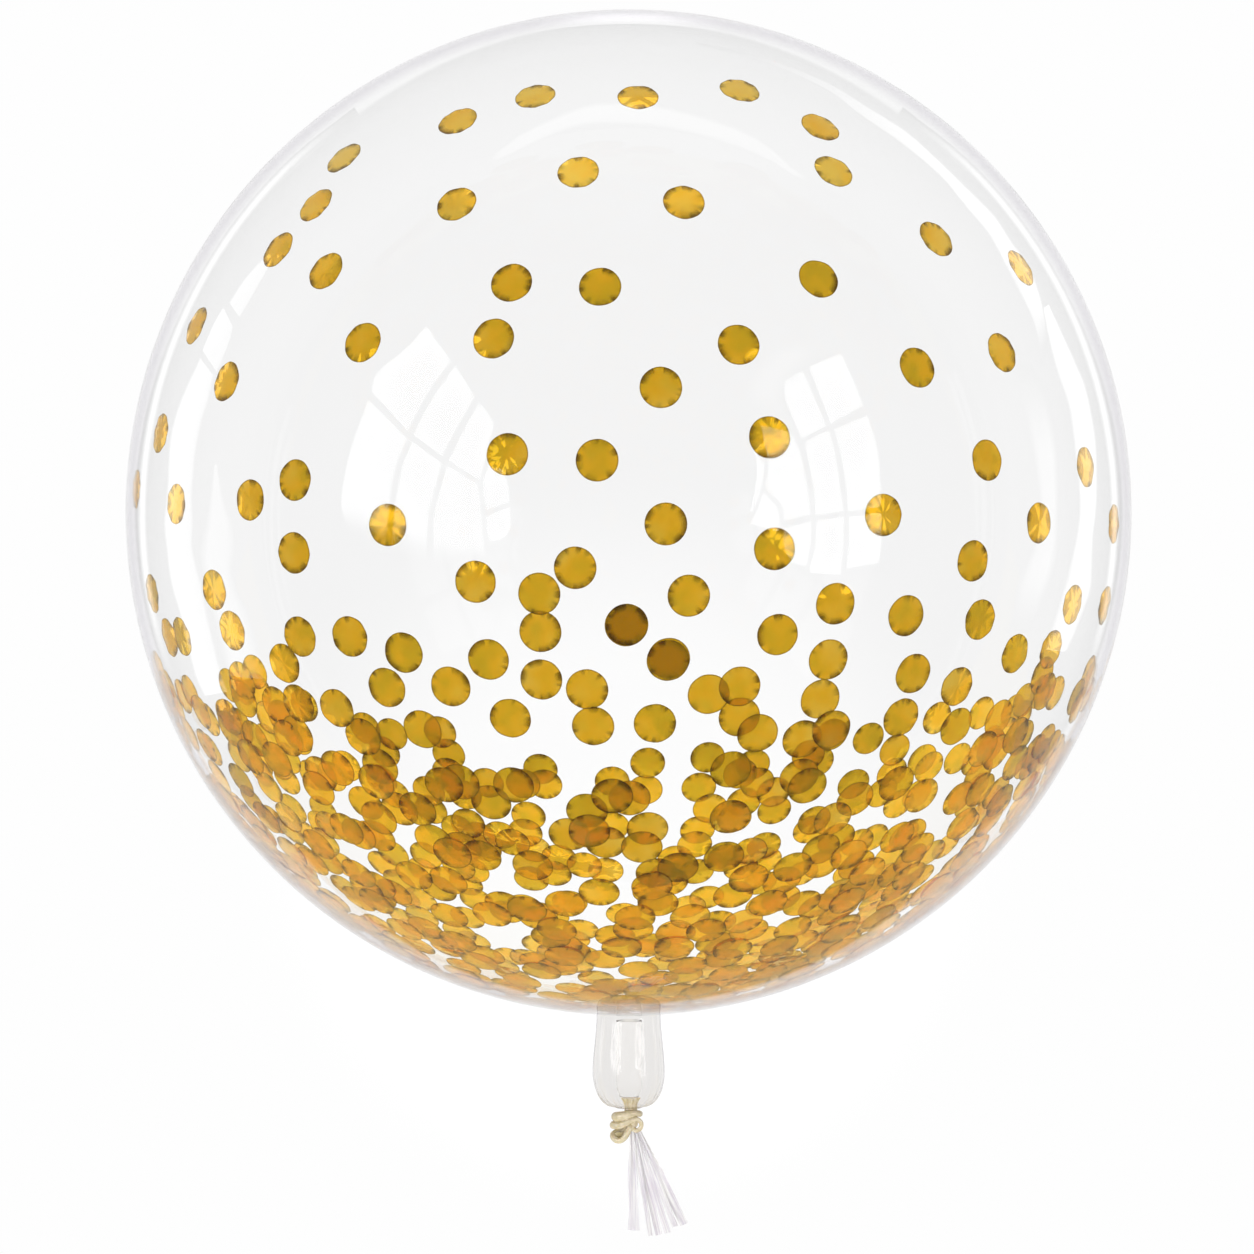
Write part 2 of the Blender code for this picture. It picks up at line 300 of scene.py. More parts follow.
@dataclass(frozen=True)
class CreamLatex:
    """Undyed latex rubber, dipped, with olive painted shade in its creases and round its lower bight."""

    face: str = "#DDD2B9"
    # Painted shade, olive, for the creases and round the lower bight
    painted_recess_shade: str = "#9A8745"
    roughness: float = 0.16
    specular: float = 0.5
    see_through: float = 0.35
    scatter: Triple = (1.0, 0.75, 0.35)
    scatter_depth: float = 1.2 * MM
    mottle: float = 2.2 * MM
    mottle_swing: float = 1.0
    grain: float = 0.5 * MM
    grain_height: float = 0.05 * MM
    grain_strength: float = 0.5
    creased: Pair = (0.42, 0.535)
    bight_shade_spots: tuple[Triple, ...] = ((-4.9 * MM, -315.4 * MM, 2.6 * MM), (-5.1 * MM, -309.8 * MM, 1.6 * MM))
    bight_shade_core: float = 0.2
    bight_shade_share: float = 0.45

    def make(self) -> bpy.types.Material:
        """Builds the material.

        Returns:
            Latex with olive painted shade in its creases and round its lower bight, which scatters light
            under its skin.
        """
        material, tree = new_material("Cream latex")
        shader = tree.nodes["Principled BSDF"]
        # Dipped latex has a waxy gloss, and light goes a little way into it
        set_node(shader, {
            "Roughness": self.roughness,
            "Subsurface Weight": self.see_through,
            "Subsurface Radius": self.scatter,
            "Subsurface Scale": self.scatter_depth,
            "Specular IOR Level": self.specular,
        })
        place = add_node(tree, "TexCoord").outputs["Object"]
        # Painted shade: the colour turns olive where Pointiness finds a crease, with random mottle mixed in
        form = add_node(tree, "NewGeometry").outputs["Pointiness"]
        low, high = self.creased
        crease = add_node(tree, "MapRange", {"Value": form, "From Min": low, "From Max": high})
        spots = add_node(tree, "TexNoise", {"Vector": place, "Scale": 1 / self.mottle, "Detail": 2.0})
        settings = {"operation": "MULTIPLY_ADD", 0: spots, 1: self.mottle_swing, 2: -self.mottle_swing / 2}
        mottle = add_node(tree, "Math", settings)
        share = add_node(tree, "Math", {"operation": "ADD", "use_clamp": True, 0: crease, 1: mottle})
        settings = {"data_type": "RGBA", 0: share, 6: linear(self.painted_recess_shade), 7: linear(self.face)}
        colour = add_node(tree, "Mix", settings).outputs[2]
        # Painted shade: darker olive spots at listed places round the lower bight
        flat = add_node(tree, "VectorMath", {"operation": "MULTIPLY", 0: place, 1: (1.0, 1.0, 0.0)})
        for across, ahead, size in self.bight_shade_spots:
            off = add_node(tree, "VectorMath", {"operation": "DISTANCE", 0: flat, 1: (across, ahead, 0.0)})
            settings = {"From Min": size, "From Max": self.bight_shade_core * size, "To Max": self.bight_shade_share}
            bight_shade = add_node(tree, "MapRange", {**SMOOTH, "Value": off.outputs["Value"], **settings})
            settings = {"data_type": "RGBA", 0: bight_shade, 6: colour, 7: linear(self.painted_recess_shade)}
            colour = add_node(tree, "Mix", settings).outputs[2]
        grain = add_node(tree, "TexNoise", {"Vector": place, "Scale": 1 / self.grain, "Detail": 2.0})
        settings = {"Height": grain, "Strength": self.grain_strength, "Distance": self.grain_height}
        set_node(shader, {"Base Color": colour, "Normal": add_node(tree, "Bump", settings)})
        return material


@dataclass(frozen=True)
class SlitFilm:
    """The same film, slit into strips and crumpled, with streaks down the strips: painted highlight and shade
    in the colour, and a matching bump.
    """

    light: str = WHITE
    shade: str = "#E0DAE4"
    roughness: float = 0.3
    transmission: float = 0.35
    ior: float = 1.45
    streak: float = 0.7 * MM
    streak_width: float = 0.03
    streak_levels: Pair = (0.36, 0.62)
    streak_height: float = 0.1 * MM
    streak_strength: float = 0.6

    def make(self) -> bpy.types.Material:
        """Builds the material.

        Returns:
            Milky film with fine streaks of painted highlight and shade down its strips.
        """
        material, tree = new_material("Slit milky film")
        shader = tree.nodes["Principled BSDF"]
        # Scratches and folds turn the film milky; its painted shade streaks have a faint lilac cast
        set_node(shader, {
            "Roughness": self.roughness,
            "Transmission Weight": self.transmission,
            "IOR": self.ior,
        })
        # Painted highlight and shade: white and lilac streaks run down each strip
        local = add_node(tree, "Attribute", {"attribute_name": "local"}).outputs["Vector"]
        lie = add_node(tree, "Mapping", {"Scale": (1.0, self.streak_width, 1.0), "Vector": local})
        streaks = add_node(tree, "TexNoise", {"Vector": lie, "Scale": 1 / self.streak, "Detail": 2.0})
        low, high = self.streak_levels
        lines = add_node(tree, "MapRange", {"Value": streaks, "From Min": low, "From Max": high})
        settings = {"data_type": "RGBA", 0: lines, 6: linear(self.shade), 7: linear(self.light)}
        colour = add_node(tree, "Mix", settings)
        settings = {"Height": streaks, "Strength": self.streak_strength, "Distance": self.streak_height}
        set_node(shader, {"Base Color": colour.outputs[2], "Normal": add_node(tree, "Bump", settings)})
        return material


# Meshes


def make_piece(
    name: str, points: np.ndarray, faces: list[list[int]], finish: bpy.types.Material
) -> bpy.types.Object:
    """Makes a smooth-shaded mesh object from points and faces.

    Args:
        name: The object's name.
        points: The points, one row each.
        faces: The faces, as lists of point numbers.
        finish: The material.

    Returns:
        The new object, linked to the scene.
    """
    mesh = bpy.data.meshes.new(name)
    mesh.from_pydata(np.asarray(points, float).tolist(), [], faces)
    mesh.shade_smooth()
    mesh.materials.append(finish)
    piece = bpy.data.objects.new(name, mesh)
    bpy.context.scene.collection.objects.link(piece)
    return piece


def store(piece: bpy.types.Object, name: str, values: np.ndarray) -> None:
    """Stores a number or a vector for each point of a piece, under a name that its material reads."""
    kind, key = ("FLOAT_VECTOR", "vector") if values.ndim == 2 else ("FLOAT", "value")
    piece.data.attributes.new(name, kind, "POINT").data.foreach_set(key, values.ravel())


def face_outwards(piece: bpy.types.Object) -> None:
    """Turns a closed mesh's faces outwards.

    Args:
        piece: The object with the mesh.
    """
    bm = bmesh.new()
    bm.from_mesh(piece.data)
    bmesh.ops.recalc_face_normals(bm, faces=bm.faces)
    bm.to_mesh(piece.data)
    bm.free()


def apply_modifiers(piece: bpy.types.Object) -> None:
    """Makes a piece's mesh what its modifiers make of it, and removes them.

    Args:
        piece: The object with the modifiers.
    """
    bpy.context.view_layer.update()
    shaped = bpy.data.meshes.new_from_object(piece.evaluated_get(bpy.context.evaluated_depsgraph_get()))
    piece.modifiers.clear()
    piece.data = shaped
    piece.data.shade_smooth()


def turns(count: int) -> np.ndarray:
    """Evenly spaced angles, once round."""
    return np.arange(count) * math.tau / count


def bands(first: int, rows: int, columns: int, flip: bool = False) -> list[list[int]]:
    """Joins rows of points, each closed round, by four-sided faces.

    Args:
        first: The number of the first row's first point.
        rows: How many rows there are.
        columns: How many points each has.
        flip: Whether the faces turn the other way, over the same diagonals.

    Returns:
        The faces.
    """
    faces = []
    for i in range(rows - 1):
        faces += ring(first + i * columns, first + (i + 1) * columns, columns)
    return [[face[0], *face[:0:-1]] for face in faces] if flip else faces


def ring(first: int, second: int, columns: int) -> list[list[int]]:
    """Joins two closed rows of points, each given by the number of its first point."""
    pairs = [(j, (j + 1) % columns) for j in range(columns)]
    return [[first + j, first + k, second + k, second + j] for j, k in pairs]


def sheet(first: int, rows: int, columns: int) -> list[list[int]]:
    """Joins an open grid of points, given by the number of its first point and its size."""
    corners = [first + i * columns + j for i in range(rows - 1) for j in range(columns - 1)]
    return [[at, at + 1, at + columns + 1, at + columns] for at in corners]


def closed_tube(first: int, rows: int, columns: int) -> list[list[int]]:
    """Joins closed rows of points into a tube, closed at each end by one of the two points after them.

    Args:
        first: The number of the first row's first point.
        rows: How many rows there are.
        columns: How many points each has.

    Returns:
        The faces.
    """
    last = first + rows * columns
    faces = bands(first, rows, columns) + fan(last, first, columns)
    return faces + fan(last + 1, last - columns, columns, flip=True)


def fan(centre: int, first: int, columns: int, flip: bool = False) -> list[list[int]]:
    """Joins one closed row to a point at its middle by triangles.

    Args:
        centre: The middle point's number.
        first: The number of the row's first point.
        columns: How many points the row has.
        flip: Whether the faces turn the other way.

    Returns:
        The faces.
    """
    faces = [[centre, first + (j + 1) % columns, first + j] for j in range(columns)]
    return [face[::-1] for face in faces] if flip else faces


def smooth_step(low: float, high: float, value: np.ndarray | float) -> np.ndarray | float:
    """Works out a smooth change from 0 to 1 between two values.

    Args:
        low: Where it starts.
        high: Where it ends.
        value: One value, or an array of them.

    Returns:
        The eased share.
    """
    share = np.clip((value - low) / (high - low), 0, 1)
    return share * share * (3 - 2 * share)


def through(route: np.ndarray, samples: int) -> np.ndarray:
    """Finds points of a smooth curve that passes through every point of a route.

    Args:
        route: The route's points, one row each.
        samples: How many points each stretch gets.

    Returns:
        The curve's points, ends included.
    """
    rows = np.vstack([2 * route[0] - route[1], route, 2 * route[-1] - route[-2]])
    found = []
    for a, b, c, d in zip(rows, rows[1:], rows[2:], rows[3:]):
        for i in range(samples):
            t = i / samples
            curved = (2 * a - 5 * b + 4 * c - d) * t**2 + (3 * b - a - 3 * c + d) * t**3
            found.append(0.5 * (2 * b + (c - a) * t + curved))
    return np.array([*found, rows[-2]])


# Where the balloon lies and how the camera sees it


@dataclass(frozen=True)
class Balloon:
    """The sizes that all pieces share, with the balloon's place from the frame."""

    globe_radius: float = 0.254
    film: float = 0.06 * MM
    neck_root: float = 16.3 * MM
    neck_bulb: float = 18.3 * MM
    neck_mouth: float = 7.4 * MM
    bulb_at: float = 0.2835
    mouth_at: float = 0.3010
    rest_height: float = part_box("bubble")[1].z - globe_radius

    def put(self, points: np.ndarray) -> np.ndarray:
        """Turns rows of (across, along, up) into the frame's X, Y and Z.

        Args:
            points: The rows, in the balloon's own directions.

        Returns:
            The same points in the frame.
        """
        points = np.asarray(points, float)
        return np.stack([points[..., 0], -points[..., 1], points[..., 2] + self.rest_height], axis=-1)


@dataclass(frozen=True)
class Viewpoint:
    """The camera: straight over the lying balloon, a little to the neck's side, as far off as nine radii."""

    frame_pixels: float = 1254.0
    sensor: float = 0.036
    lens: float = 0.1292
    over_globe: float = 2.286
    across: float = -0.8 * MM
    forward: float = -57.4 * MM
    sees_to: float = 50.0

    def place(self, balloon: Balloon) -> bpy.types.Object:
        """Puts the camera over the balloon and makes it the scene's.

        Args:
            balloon: The balloon's sizes.

        Returns:
            The camera.
        """
        data = bpy.data.cameras.new("camera")
        data.sensor_width = self.sensor / MM
        data.lens = self.lens / MM
        data.clip_end = self.sees_to
        camera = bpy.data.objects.new("camera", data)
        bpy.context.scene.collection.objects.link(camera)
        camera.location = (self.across, self.forward, balloon.rest_height + self.over_globe)
        bpy.context.scene.camera = camera
        return camera

    def eye(self) -> np.ndarray:
        """The camera's place, from the globe's centre."""
        return np.array([self.across, self.forward, self.over_globe])

    def on_globe(self, column: float, row: float, radius: float) -> np.ndarray:
        """Finds the point of the globe's near wall that a pixel of the photograph shows.

        Args:
            column: The pixel's column.
            row: The pixel's row.
            radius: The wall's radius.

        Returns:
            The direction from the globe's centre to that point, of length 1, in the frame's axes.
        """
        start = self.eye()
        focal = self.lens / self.sensor * self.frame_pixels
        middle = self.frame_pixels / 2
        ray = np.array([(column - middle) / focal, (middle - row) / focal, -1.0])
        ray /= np.linalg.norm(ray)
        along = start @ ray
        reach = -along - math.sqrt(max(along**2 - start @ start + radius**2, 0.0))
        point = start + ray * reach
        return point / np.linalg.norm(point)

    def mirrored(
        self, column: float, row: float, balloon: Balloon, floor: float, distance: float
    ) -> np.ndarray:
        """Finds what the globe's near wall mirrors at a pixel of the photograph.

        Args:
            column: The pixel's column.
            row: The pixel's row.
            balloon: The balloon's sizes.
            floor: The height that a light on the floor lies at.
            distance: How far off any other light stands.

        Returns:
            The place of the mirrored light in the frame.
        """
        normal = self.on_globe(column, row, balloon.globe_radius)
        point = normal * balloon.globe_radius
        ray = point - self.eye()
        ray /= np.linalg.norm(ray)
        ray -= 2 * (ray @ normal) * normal
        point = point + [0, 0, balloon.rest_height]
        reach = (floor - point[2]) / ray[2] if ray[2] < 0 else distance
        return point + ray * min(reach, distance)


# The film: globe and neck in one


@dataclass
class BubbleFilm:
    """The blown globe and its neck, as one thin closed shell with pleats where the mouth is gathered."""

    balloon: Balloon
    steps: int = 224
    globe_rows: int = 132
    fillet: float = 1.2 * MM
    gather: float = 3.9 * MM
    seat_softness: float = 0.35 * MM
    seat_reach: float = 0.02
    neck_from: float = 0.2536
    crowding: float = 0.3
    join_gap: float = 0.004
    bend_rows: int = 6
    taper_rows: int = 17
    shoulder_rows: int = 19
    mouth_rows: int = 5
    lip_roll: float = 0.4 * MM
    lip_rise: float = 0.6 * MM
    shallow_pleats: float = 0.03 * MM
    shallow_over: Pair = (0.256, 0.27)
    deep_pleats: float = 0.22 * MM
    deep_over: Pair = (0.285, 0.3005)
    pleat_counts: tuple[int, ...] = (7, 13, 22, 37)
    pleat_shares: Pair = (0.5, 1.0)
    seed: int = 4

    def profile(self) -> np.ndarray:
        """Works out the shell's outer outline, from the far pole to the gathered mouth.

        Returns:
            Rows of (radius, along).
        """
        b = self.balloon
        radius, root = b.globe_radius, b.neck_root
        off_axis = root + self.fillet
        hub = np.array([off_axis, math.sqrt((radius + self.fillet) ** 2 - off_axis**2)])
        meets = hub * radius / (radius + self.fillet)
        last = math.pi - math.atan2(meets[0], meets[1])
        share = np.linspace(0, 1, self.globe_rows)[1:]
        turn = math.pi * share - self.crowding * np.sin(2 * math.pi * share)
        turn = np.append(turn[turn < last - self.join_gap], last)
        globe = np.stack([radius * np.sin(turn), -radius * np.cos(turn)], axis=-1)
        start = math.atan2(*(meets - hub)[::-1])
        arc = np.linspace(start, -math.pi, self.bend_rows + 1)[1:]
        bend = hub + self.fillet * np.stack([np.cos(arc), np.sin(arc)], axis=-1)
        share = np.linspace(0, 1, self.taper_rows + 1)[1:]
        taper = np.stack([
            root + (b.neck_bulb - root) * smooth_step(0, 1, share),
            bend[-1, 1] + (b.bulb_at - bend[-1, 1]) * share,
        ], axis=-1)
        turn = np.linspace(0, math.pi / 2, self.shoulder_rows + 1)[1:]
        shoulder = np.stack([
            b.neck_mouth + (b.neck_bulb - b.neck_mouth) * np.cos(turn),
            b.bulb_at + (b.mouth_at - b.bulb_at) * np.sin(turn),
        ], axis=-1)
        share = np.linspace(0, 1, self.mouth_rows + 1)[1:]
        mouth = np.stack([
            b.neck_mouth + (self.gather - b.neck_mouth) * share,
            b.mouth_at + self.lip_roll * np.sin(share * math.pi) + self.lip_rise * share,
        ], axis=-1)
        return np.vstack([globe, bend, taper, shoulder, mouth])

    def pleats(self, turn: np.ndarray, along: np.ndarray) -> np.ndarray:
        """Works out how far the neck's pleats stand out, deepest at the gathered mouth.

        Args:
            turn: Angles round the axis.
            along: Distances along the axis.

        Returns:
            A row of heights for each distance, with one for each angle.
        """
        draw = random.Random(self.seed)
        wave = np.zeros_like(turn)
        for count in self.pleat_counts:
            wave += np.sin(turn * count + draw.uniform(0, math.tau)) * draw.uniform(*self.pleat_shares)
        depth = self.shallow_pleats * smooth_step(*self.shallow_over, along)
        depth += self.deep_pleats * smooth_step(*self.deep_over, along)
        return depth[:, None] * wave[None, :]

    def skin(self) -> tuple[np.ndarray, np.ndarray]:
        """Works out the shell's outer points and their normals.

        Returns:
            Two grids of points: the outer skin's and its unit normals.
        """
        outline = self.profile()
        share = np.arange(self.steps) / self.steps
        turn = math.tau * share - self.crowding * np.sin(2 * math.tau * share)
        radius = outline[:, :1] + self.pleats(turn, outline[:, 1])
        grid = np.stack([
            radius * np.cos(turn),
            np.repeat(outline[:, 1:], self.steps, axis=1),
            radius * np.sin(turn),
        ], axis=-1)
        height = grid[..., 2] + self.balloon.rest_height
        lift = (np.sqrt(height**2 + self.seat_softness**2) - height) / 2
        grid[..., 2] += lift * (height < self.seat_reach)
        down = np.gradient(grid, axis=0)
        around = np.roll(grid, -1, axis=1) - np.roll(grid, 1, axis=1)
        normal = np.cross(down, around)
        normal /= np.linalg.norm(normal, axis=-1, keepdims=True)
        return grid, normal

    def build(self, finish: BlownFilm, neck_finish: BlownFilm) -> bpy.types.Object:
        """Builds the shell and dresses it.

        Args:
            finish: The globe's finish.
            neck_finish: The neck's, where the film wasn't stretched.

        Returns:
            The shell, which replaces the solid bubble.
        """
        outer, normal = self.skin()
        rows = len(outer)
        away = np.sign((normal[rows // 2] * outer[rows // 2]).sum(axis=-1).mean())
        inner = outer - normal * away * self.balloon.film
        radius = self.balloon.globe_radius
        poles = np.array([[0, -radius, 0], [0, -radius + self.balloon.film, 0]])
        points = np.vstack([outer.reshape(-1, 3), inner.reshape(-1, 3), poles])
        count = rows * self.steps
        faces = bands(0, rows, self.steps) + bands(count, rows, self.steps, flip=True)
        faces += fan(2 * count, 0, self.steps) + fan(2 * count + 1, count, self.steps, flip=True)
        last = (rows - 1) * self.steps
        faces += ring(last, count + last, self.steps)
        piece = make_piece("clear_bubble", self.balloon.put(points), faces, finish.make())
        piece.data.materials.append(neck_finish.make())
        face_outwards(piece)
        for face in piece.data.polygons:
            face.material_index = int(-face.center.y > self.neck_from)
        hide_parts("bubble")
        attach(piece, "root")
        piece.visible_shadow = False
        return piece


# Confetti


@dataclass
class Disc:
    """One disc of confetti: the direction of its place, its layer, and if it's one of a stuck pair, which
    takes painted shade.
    """

    place: np.ndarray
    layer: int = 0
    doubled: bool = False


def close_by(place: np.ndarray, discs: list[Disc], angle: float) -> list[Disc]:
    """Picks the discs whose middles lie within an angle of a place, seen from the globe's centre."""
    return [disc for disc in discs if place @ disc.place > math.cos(angle)]


def free_layer(near: list[Disc]) -> int:
    """Finds the lowest layer that none of the discs near a place lies in."""
    used = {disc.layer for disc in near}
    return next(i for i in range(len(used) + 1) if i not in used)


# Single discs on the near wall, by the photograph's pixel at their middle: column and row
LOOSE_DISCS = (
    (535, 95), (638, 96), (740, 89), (457, 120), (821, 126), (343, 157), (834, 170), (578, 171), (684, 201),
    (456, 203), (315, 204), (937, 238), (277, 249), (1022, 267), (325, 270), (819, 278), (511, 282),
    (600, 286), (195, 325), (493, 338), (362, 342), (739, 344), (1003, 352), (918, 367), (225, 381),
    (661, 387), (159, 433), (770, 437), (507, 454), (988, 460), (597, 460), (1087, 467), (294, 480),
    (135, 489), (249, 500), (175, 504), (884, 515), (387, 525), (666, 524), (1040, 523), (1115, 524),
    (775, 549), (293, 553), (974, 561), (575, 568), (475, 582), (213, 590), (539, 594), (151, 594),
    (689, 596), (836, 604), (1074, 605), (1106, 606), (907, 616), (981, 620), (627, 625), (231, 631),
    (540, 632), (778, 635), (299, 637), (349, 637), (168, 638), (180, 637), (403, 653), (829, 660),
    (1052, 650), (1016, 654), (488, 660), (283, 664), (668, 661), (914, 674), (541, 680), (241, 681),
    (450, 687), (958, 687), (386, 688), (587, 690), (740, 687), (709, 695), (821, 700), (297, 704),
    (336, 709), (626, 626), (669, 659), (902, 718), (510, 719), (655, 724), (593, 727), (228, 718),
    (422, 730), (362, 738), (758, 734), (287, 739), (740, 718), (832, 730), (803, 740), (1046, 692),
    (1079, 706), (957, 727),
)


@dataclass
class Confetti:
    """Gold discs sealed in the globe: loose ones clinging to the near wall, and a drift at the neck's end."""

    balloon: Balloon
    view: Viewpoint
    diameter: float = 19.5 * MM
    thickness: float = 0.05 * MM
    clearance: float = 0.15 * MM
    layer_gap: float = 0.28 * MM
    drift_count: int = 680
    drift_climb: float = 0.85
    drift_starts: float = 0.104
    drift_full: float = 0.142
    drift_packed: float = 0.200
    drift_ends: float = 0.2524
    drift_thin: float = 0.6
    drift_spill: float = 0.05
    drift_bunching: float = 1.12
    least_apart: float = 6.2 * MM
    pair_within: float = 2.0 * MM
    loose_wave: float = 0.42 * MM
    loose_tone: float = 0.5
    drift_wave: float = 0.16 * MM
    drift_tone: float = 0.42
    tone_spread: float = 0.3
    # Painted light: discs towards the far end are lifted to lighter tones, as if they mirrored brighter
    # surroundings
    far_end_painted_light: float = 0.4
    far_end_painted_light_over: Pair = (0.115, 0.165)
    # Painted shade: stuck pairs take the darkest tone
    doubled_shade_tone: float = -0.6
    middle_dip: float = 0.4
    rim_lobes: tuple[int, ...] = (5, 6, 7, 8, 9)
    rim_swing: float = 0.4
    lean: Pair = (0.2, 1.0)
    grain_side: Triple = (0.3, 0.2, 0.93)
    columns: int = 32
    seed: int = 37
    rings: tuple[float, ...] = (0.42, 0.74, 1.0)
    loose: list = field(default_factory=list)
    drift: list = field(default_factory=list)

    def scatter(self) -> None:
        """Places the loose discs as the photograph shows them, then the drift at random."""
        radius = self.balloon.globe_radius
        for column, row in LOOSE_DISCS:
            place = self.view.on_globe(column, row, radius)
            near = close_by(place, self.loose, self.diameter / radius)
            pair = close_by(place, near, self.pair_within / radius)
            for other in pair:
                other.doubled = True
            self.loose.append(Disc(place, free_layer(near), bool(pair)))
        draw = random.Random(self.seed)
        taken = list(self.loose)
        while len(self.drift) < self.drift_count:
            reach = self.drift_ends - self.drift_starts + self.drift_spill
            along = self.drift_ends - reach * draw.random() ** self.drift_bunching
            turn = draw.uniform(0, math.tau)
            keep = draw.random()
            off = math.sqrt(radius**2 - along**2)
            level = along + self.drift_climb * (off * math.cos(turn)) ** 2
            thin = self.drift_thin * smooth_step(self.drift_starts, self.drift_full, level)
            packed = (1 - self.drift_thin) * smooth_step(self.drift_full, self.drift_packed, level)
            if keep > thin + packed:
                continue
            place = np.array([off * math.cos(turn), -along, off * math.sin(turn)]) / radius
            near = close_by(place, taken, self.diameter / radius)
            if close_by(place, near, self.least_apart / radius):
                continue
            disc = Disc(place, free_layer(near))
            self.drift.append(disc)
            taken.append(disc)

    def disc_points(self, disc: Disc, wave: float, draw: random.Random) -> tuple[np.ndarray, np.ndarray]:
        """Bends one disc to the wall and waves its rim.

        Args:
            disc: The disc.
            wave: How far its rim waves off the wall.
            draw: The source of its random turn and waves.

        Returns:
            Its points, the middle and rings of its outer face and then of its inner face, and where each
            lies on the flat disc, in radii.
        """
        outward = disc.place
        side = np.cross(outward, self.grain_side)
        side /= np.linalg.norm(side)
        other = np.cross(outward, side)
        turn = turns(self.columns)
        lobes = draw.choice(self.rim_lobes)
        phase, bend_phase = draw.uniform(0, math.tau), draw.uniform(0, math.tau)
        lean = draw.uniform(*self.lean)
        size = self.diameter / 2
        radius = self.balloon.globe_radius - self.balloon.film - self.clearance - disc.layer * self.layer_gap
        faces, flats = [], []
        for depth in (0.0, self.thickness):
            rows = [outward * (radius - depth - wave * self.middle_dip)]
            flats.append(np.zeros((1, 3)))
            for share in self.rings:
                flats.append(np.stack([share * np.cos(turn), share * np.sin(turn), 0 * turn], axis=-1))
                swing = 1 - self.rim_swing + self.rim_swing * np.sin(lobes * turn + phase)
                off = wave * share**2 * (swing + lean * (1 + np.cos(2 * turn + bend_phase)) / 2)
                flat = (np.cos(turn)[:, None] * side + np.sin(turn)[:, None] * other) * share * size
                spot = outward * radius + flat
                spot /= np.linalg.norm(spot, axis=-1, keepdims=True)
                rows.extend(spot * (radius - depth - off)[:, None])
            faces.append(np.array(rows))
        return np.vstack(faces), np.vstack(flats)

    def disc_faces(self, first: int) -> list[list[int]]:
        """Joins one disc's points.

        Args:
            first: The number of its first point.

        Returns:
            Its faces.
        """
        rows, columns = len(self.rings), self.columns
        side = 1 + rows * columns
        faces = []
        for start, flip in ((first, True), (first + side, False)):
            faces += fan(start, start + 1, columns, flip)
            faces += bands(start + 1, rows, columns, flip)
        rim = first + 1 + (rows - 1) * columns
        return faces + ring(rim, rim + side, columns)

    def build_group(
        self, name: str, discs: list[Disc], wave: float, tone: float, finish: bpy.types.Material
    ) -> bpy.types.Object:
        """Builds one group of discs as one piece.

        Args:
            name: The piece's name.
            discs: Its discs.
            wave: How far their rims wave off the wall.
            tone: How light they are on the whole, from 0 to 1.
            finish: Their material.

        Returns:
            The piece.
        """
        draw = random.Random(self.seed + len(discs))
        points, faces, flats, shades = [], [], [], []
        for disc in discs:
            faces += self.disc_faces(sum(len(rows) for rows in points))
            shape, flat = self.disc_points(disc, wave, draw)
            points.append(shape)
            flats.append(flat)
            # Painted light lifts the tone of discs towards the far end, stacked pairs take painted shade, and
            # otherwise the tone differs at random
            behind = disc.place[1] * self.balloon.globe_radius
            lit = self.far_end_painted_light * smooth_step(*self.far_end_painted_light_over, behind)
            own = tone + lit + self.tone_spread * draw.uniform(-1, 1) ** 3
            shades.append(np.full(len(shape), self.doubled_shade_tone if disc.doubled else own))
        centre = np.array([0, 0, self.balloon.rest_height])
        piece = make_piece(name, np.vstack(points) + centre, faces, finish)
        store(piece, "shade", np.concatenate(shades))
        store(piece, "local", np.vstack(flats))
        face_outwards(piece)
        piece.data.set_sharp_from_angle(angle=SHARP)
        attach(piece, "root")
        return piece

    def build(self, finish: GoldFoil) -> list[bpy.types.Object]:
        """Builds the loose discs and the drift.

        Args:
            finish: The discs' finish.

        Returns:
            The pieces.
        """
        self.scatter()
        gold = finish.make()
        near = [disc for disc in self.drift if disc.place[2] > 0]
        far = [disc for disc in self.drift if disc.place[2] <= 0]
        return [
            self.build_group("loose_confetti", self.loose, self.loose_wave, self.loose_tone, gold),
            self.build_group("drifted_confetti_upper", near, self.drift_wave, self.drift_tone, gold),
            self.build_group("drifted_confetti_lower", far, self.drift_wave, self.drift_tone, gold),
        ]


# Filling sleeve


@dataclass
class FillingSleeve:
    """The flat tube of film inside the neck that the balloon is filled through."""

    balloon: Balloon
    half_width: float = 6.6 * MM
    half_depth: float = 4.6 * MM
    wall: float = 0.12 * MM
    starts: float = 0.2572
    ends: float = 0.2958
    off_axis: float = 0.3 * MM
    pinch: float = 0.25
    pinch_from: float = 0.86
    columns: int = 64
    rows: int = 40

    def build(self, finish: bpy.types.Material) -> bpy.types.Object:
        """Builds the sleeve and dresses it.

        Args:
            finish: The film's material.

        Returns:
            The sleeve.
        """
        turn = turns(self.columns)
        share = np.linspace(0, 1, self.rows)
        along = self.starts + (self.ends - self.starts) * share
        skins = []
        for inset in (0.0, self.wall):
            flare = 1 - self.pinch * smooth_step(self.pinch_from, 1.0, share)
            width = (self.half_width * flare - inset)[:, None]
            depth = (self.half_depth * flare - inset)[:, None]
            skins.append(np.stack([
                self.off_axis + width * np.cos(turn),
                np.repeat(along[:, None], self.columns, axis=1),
                depth * np.sin(turn),
            ], axis=-1).reshape(-1, 3))
        count = self.columns * self.rows
        faces = bands(0, self.rows, self.columns) + bands(count, self.rows, self.columns, flip=True)
        for first in (0, count - self.columns):
            faces += ring(first, count + first, self.columns)
        piece = make_piece("filling_sleeve", self.balloon.put(np.vstack(skins)), faces, finish)
        face_outwards(piece)
        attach(piece, "root")
        piece.visible_shadow = False
        return piece


# Latex tie


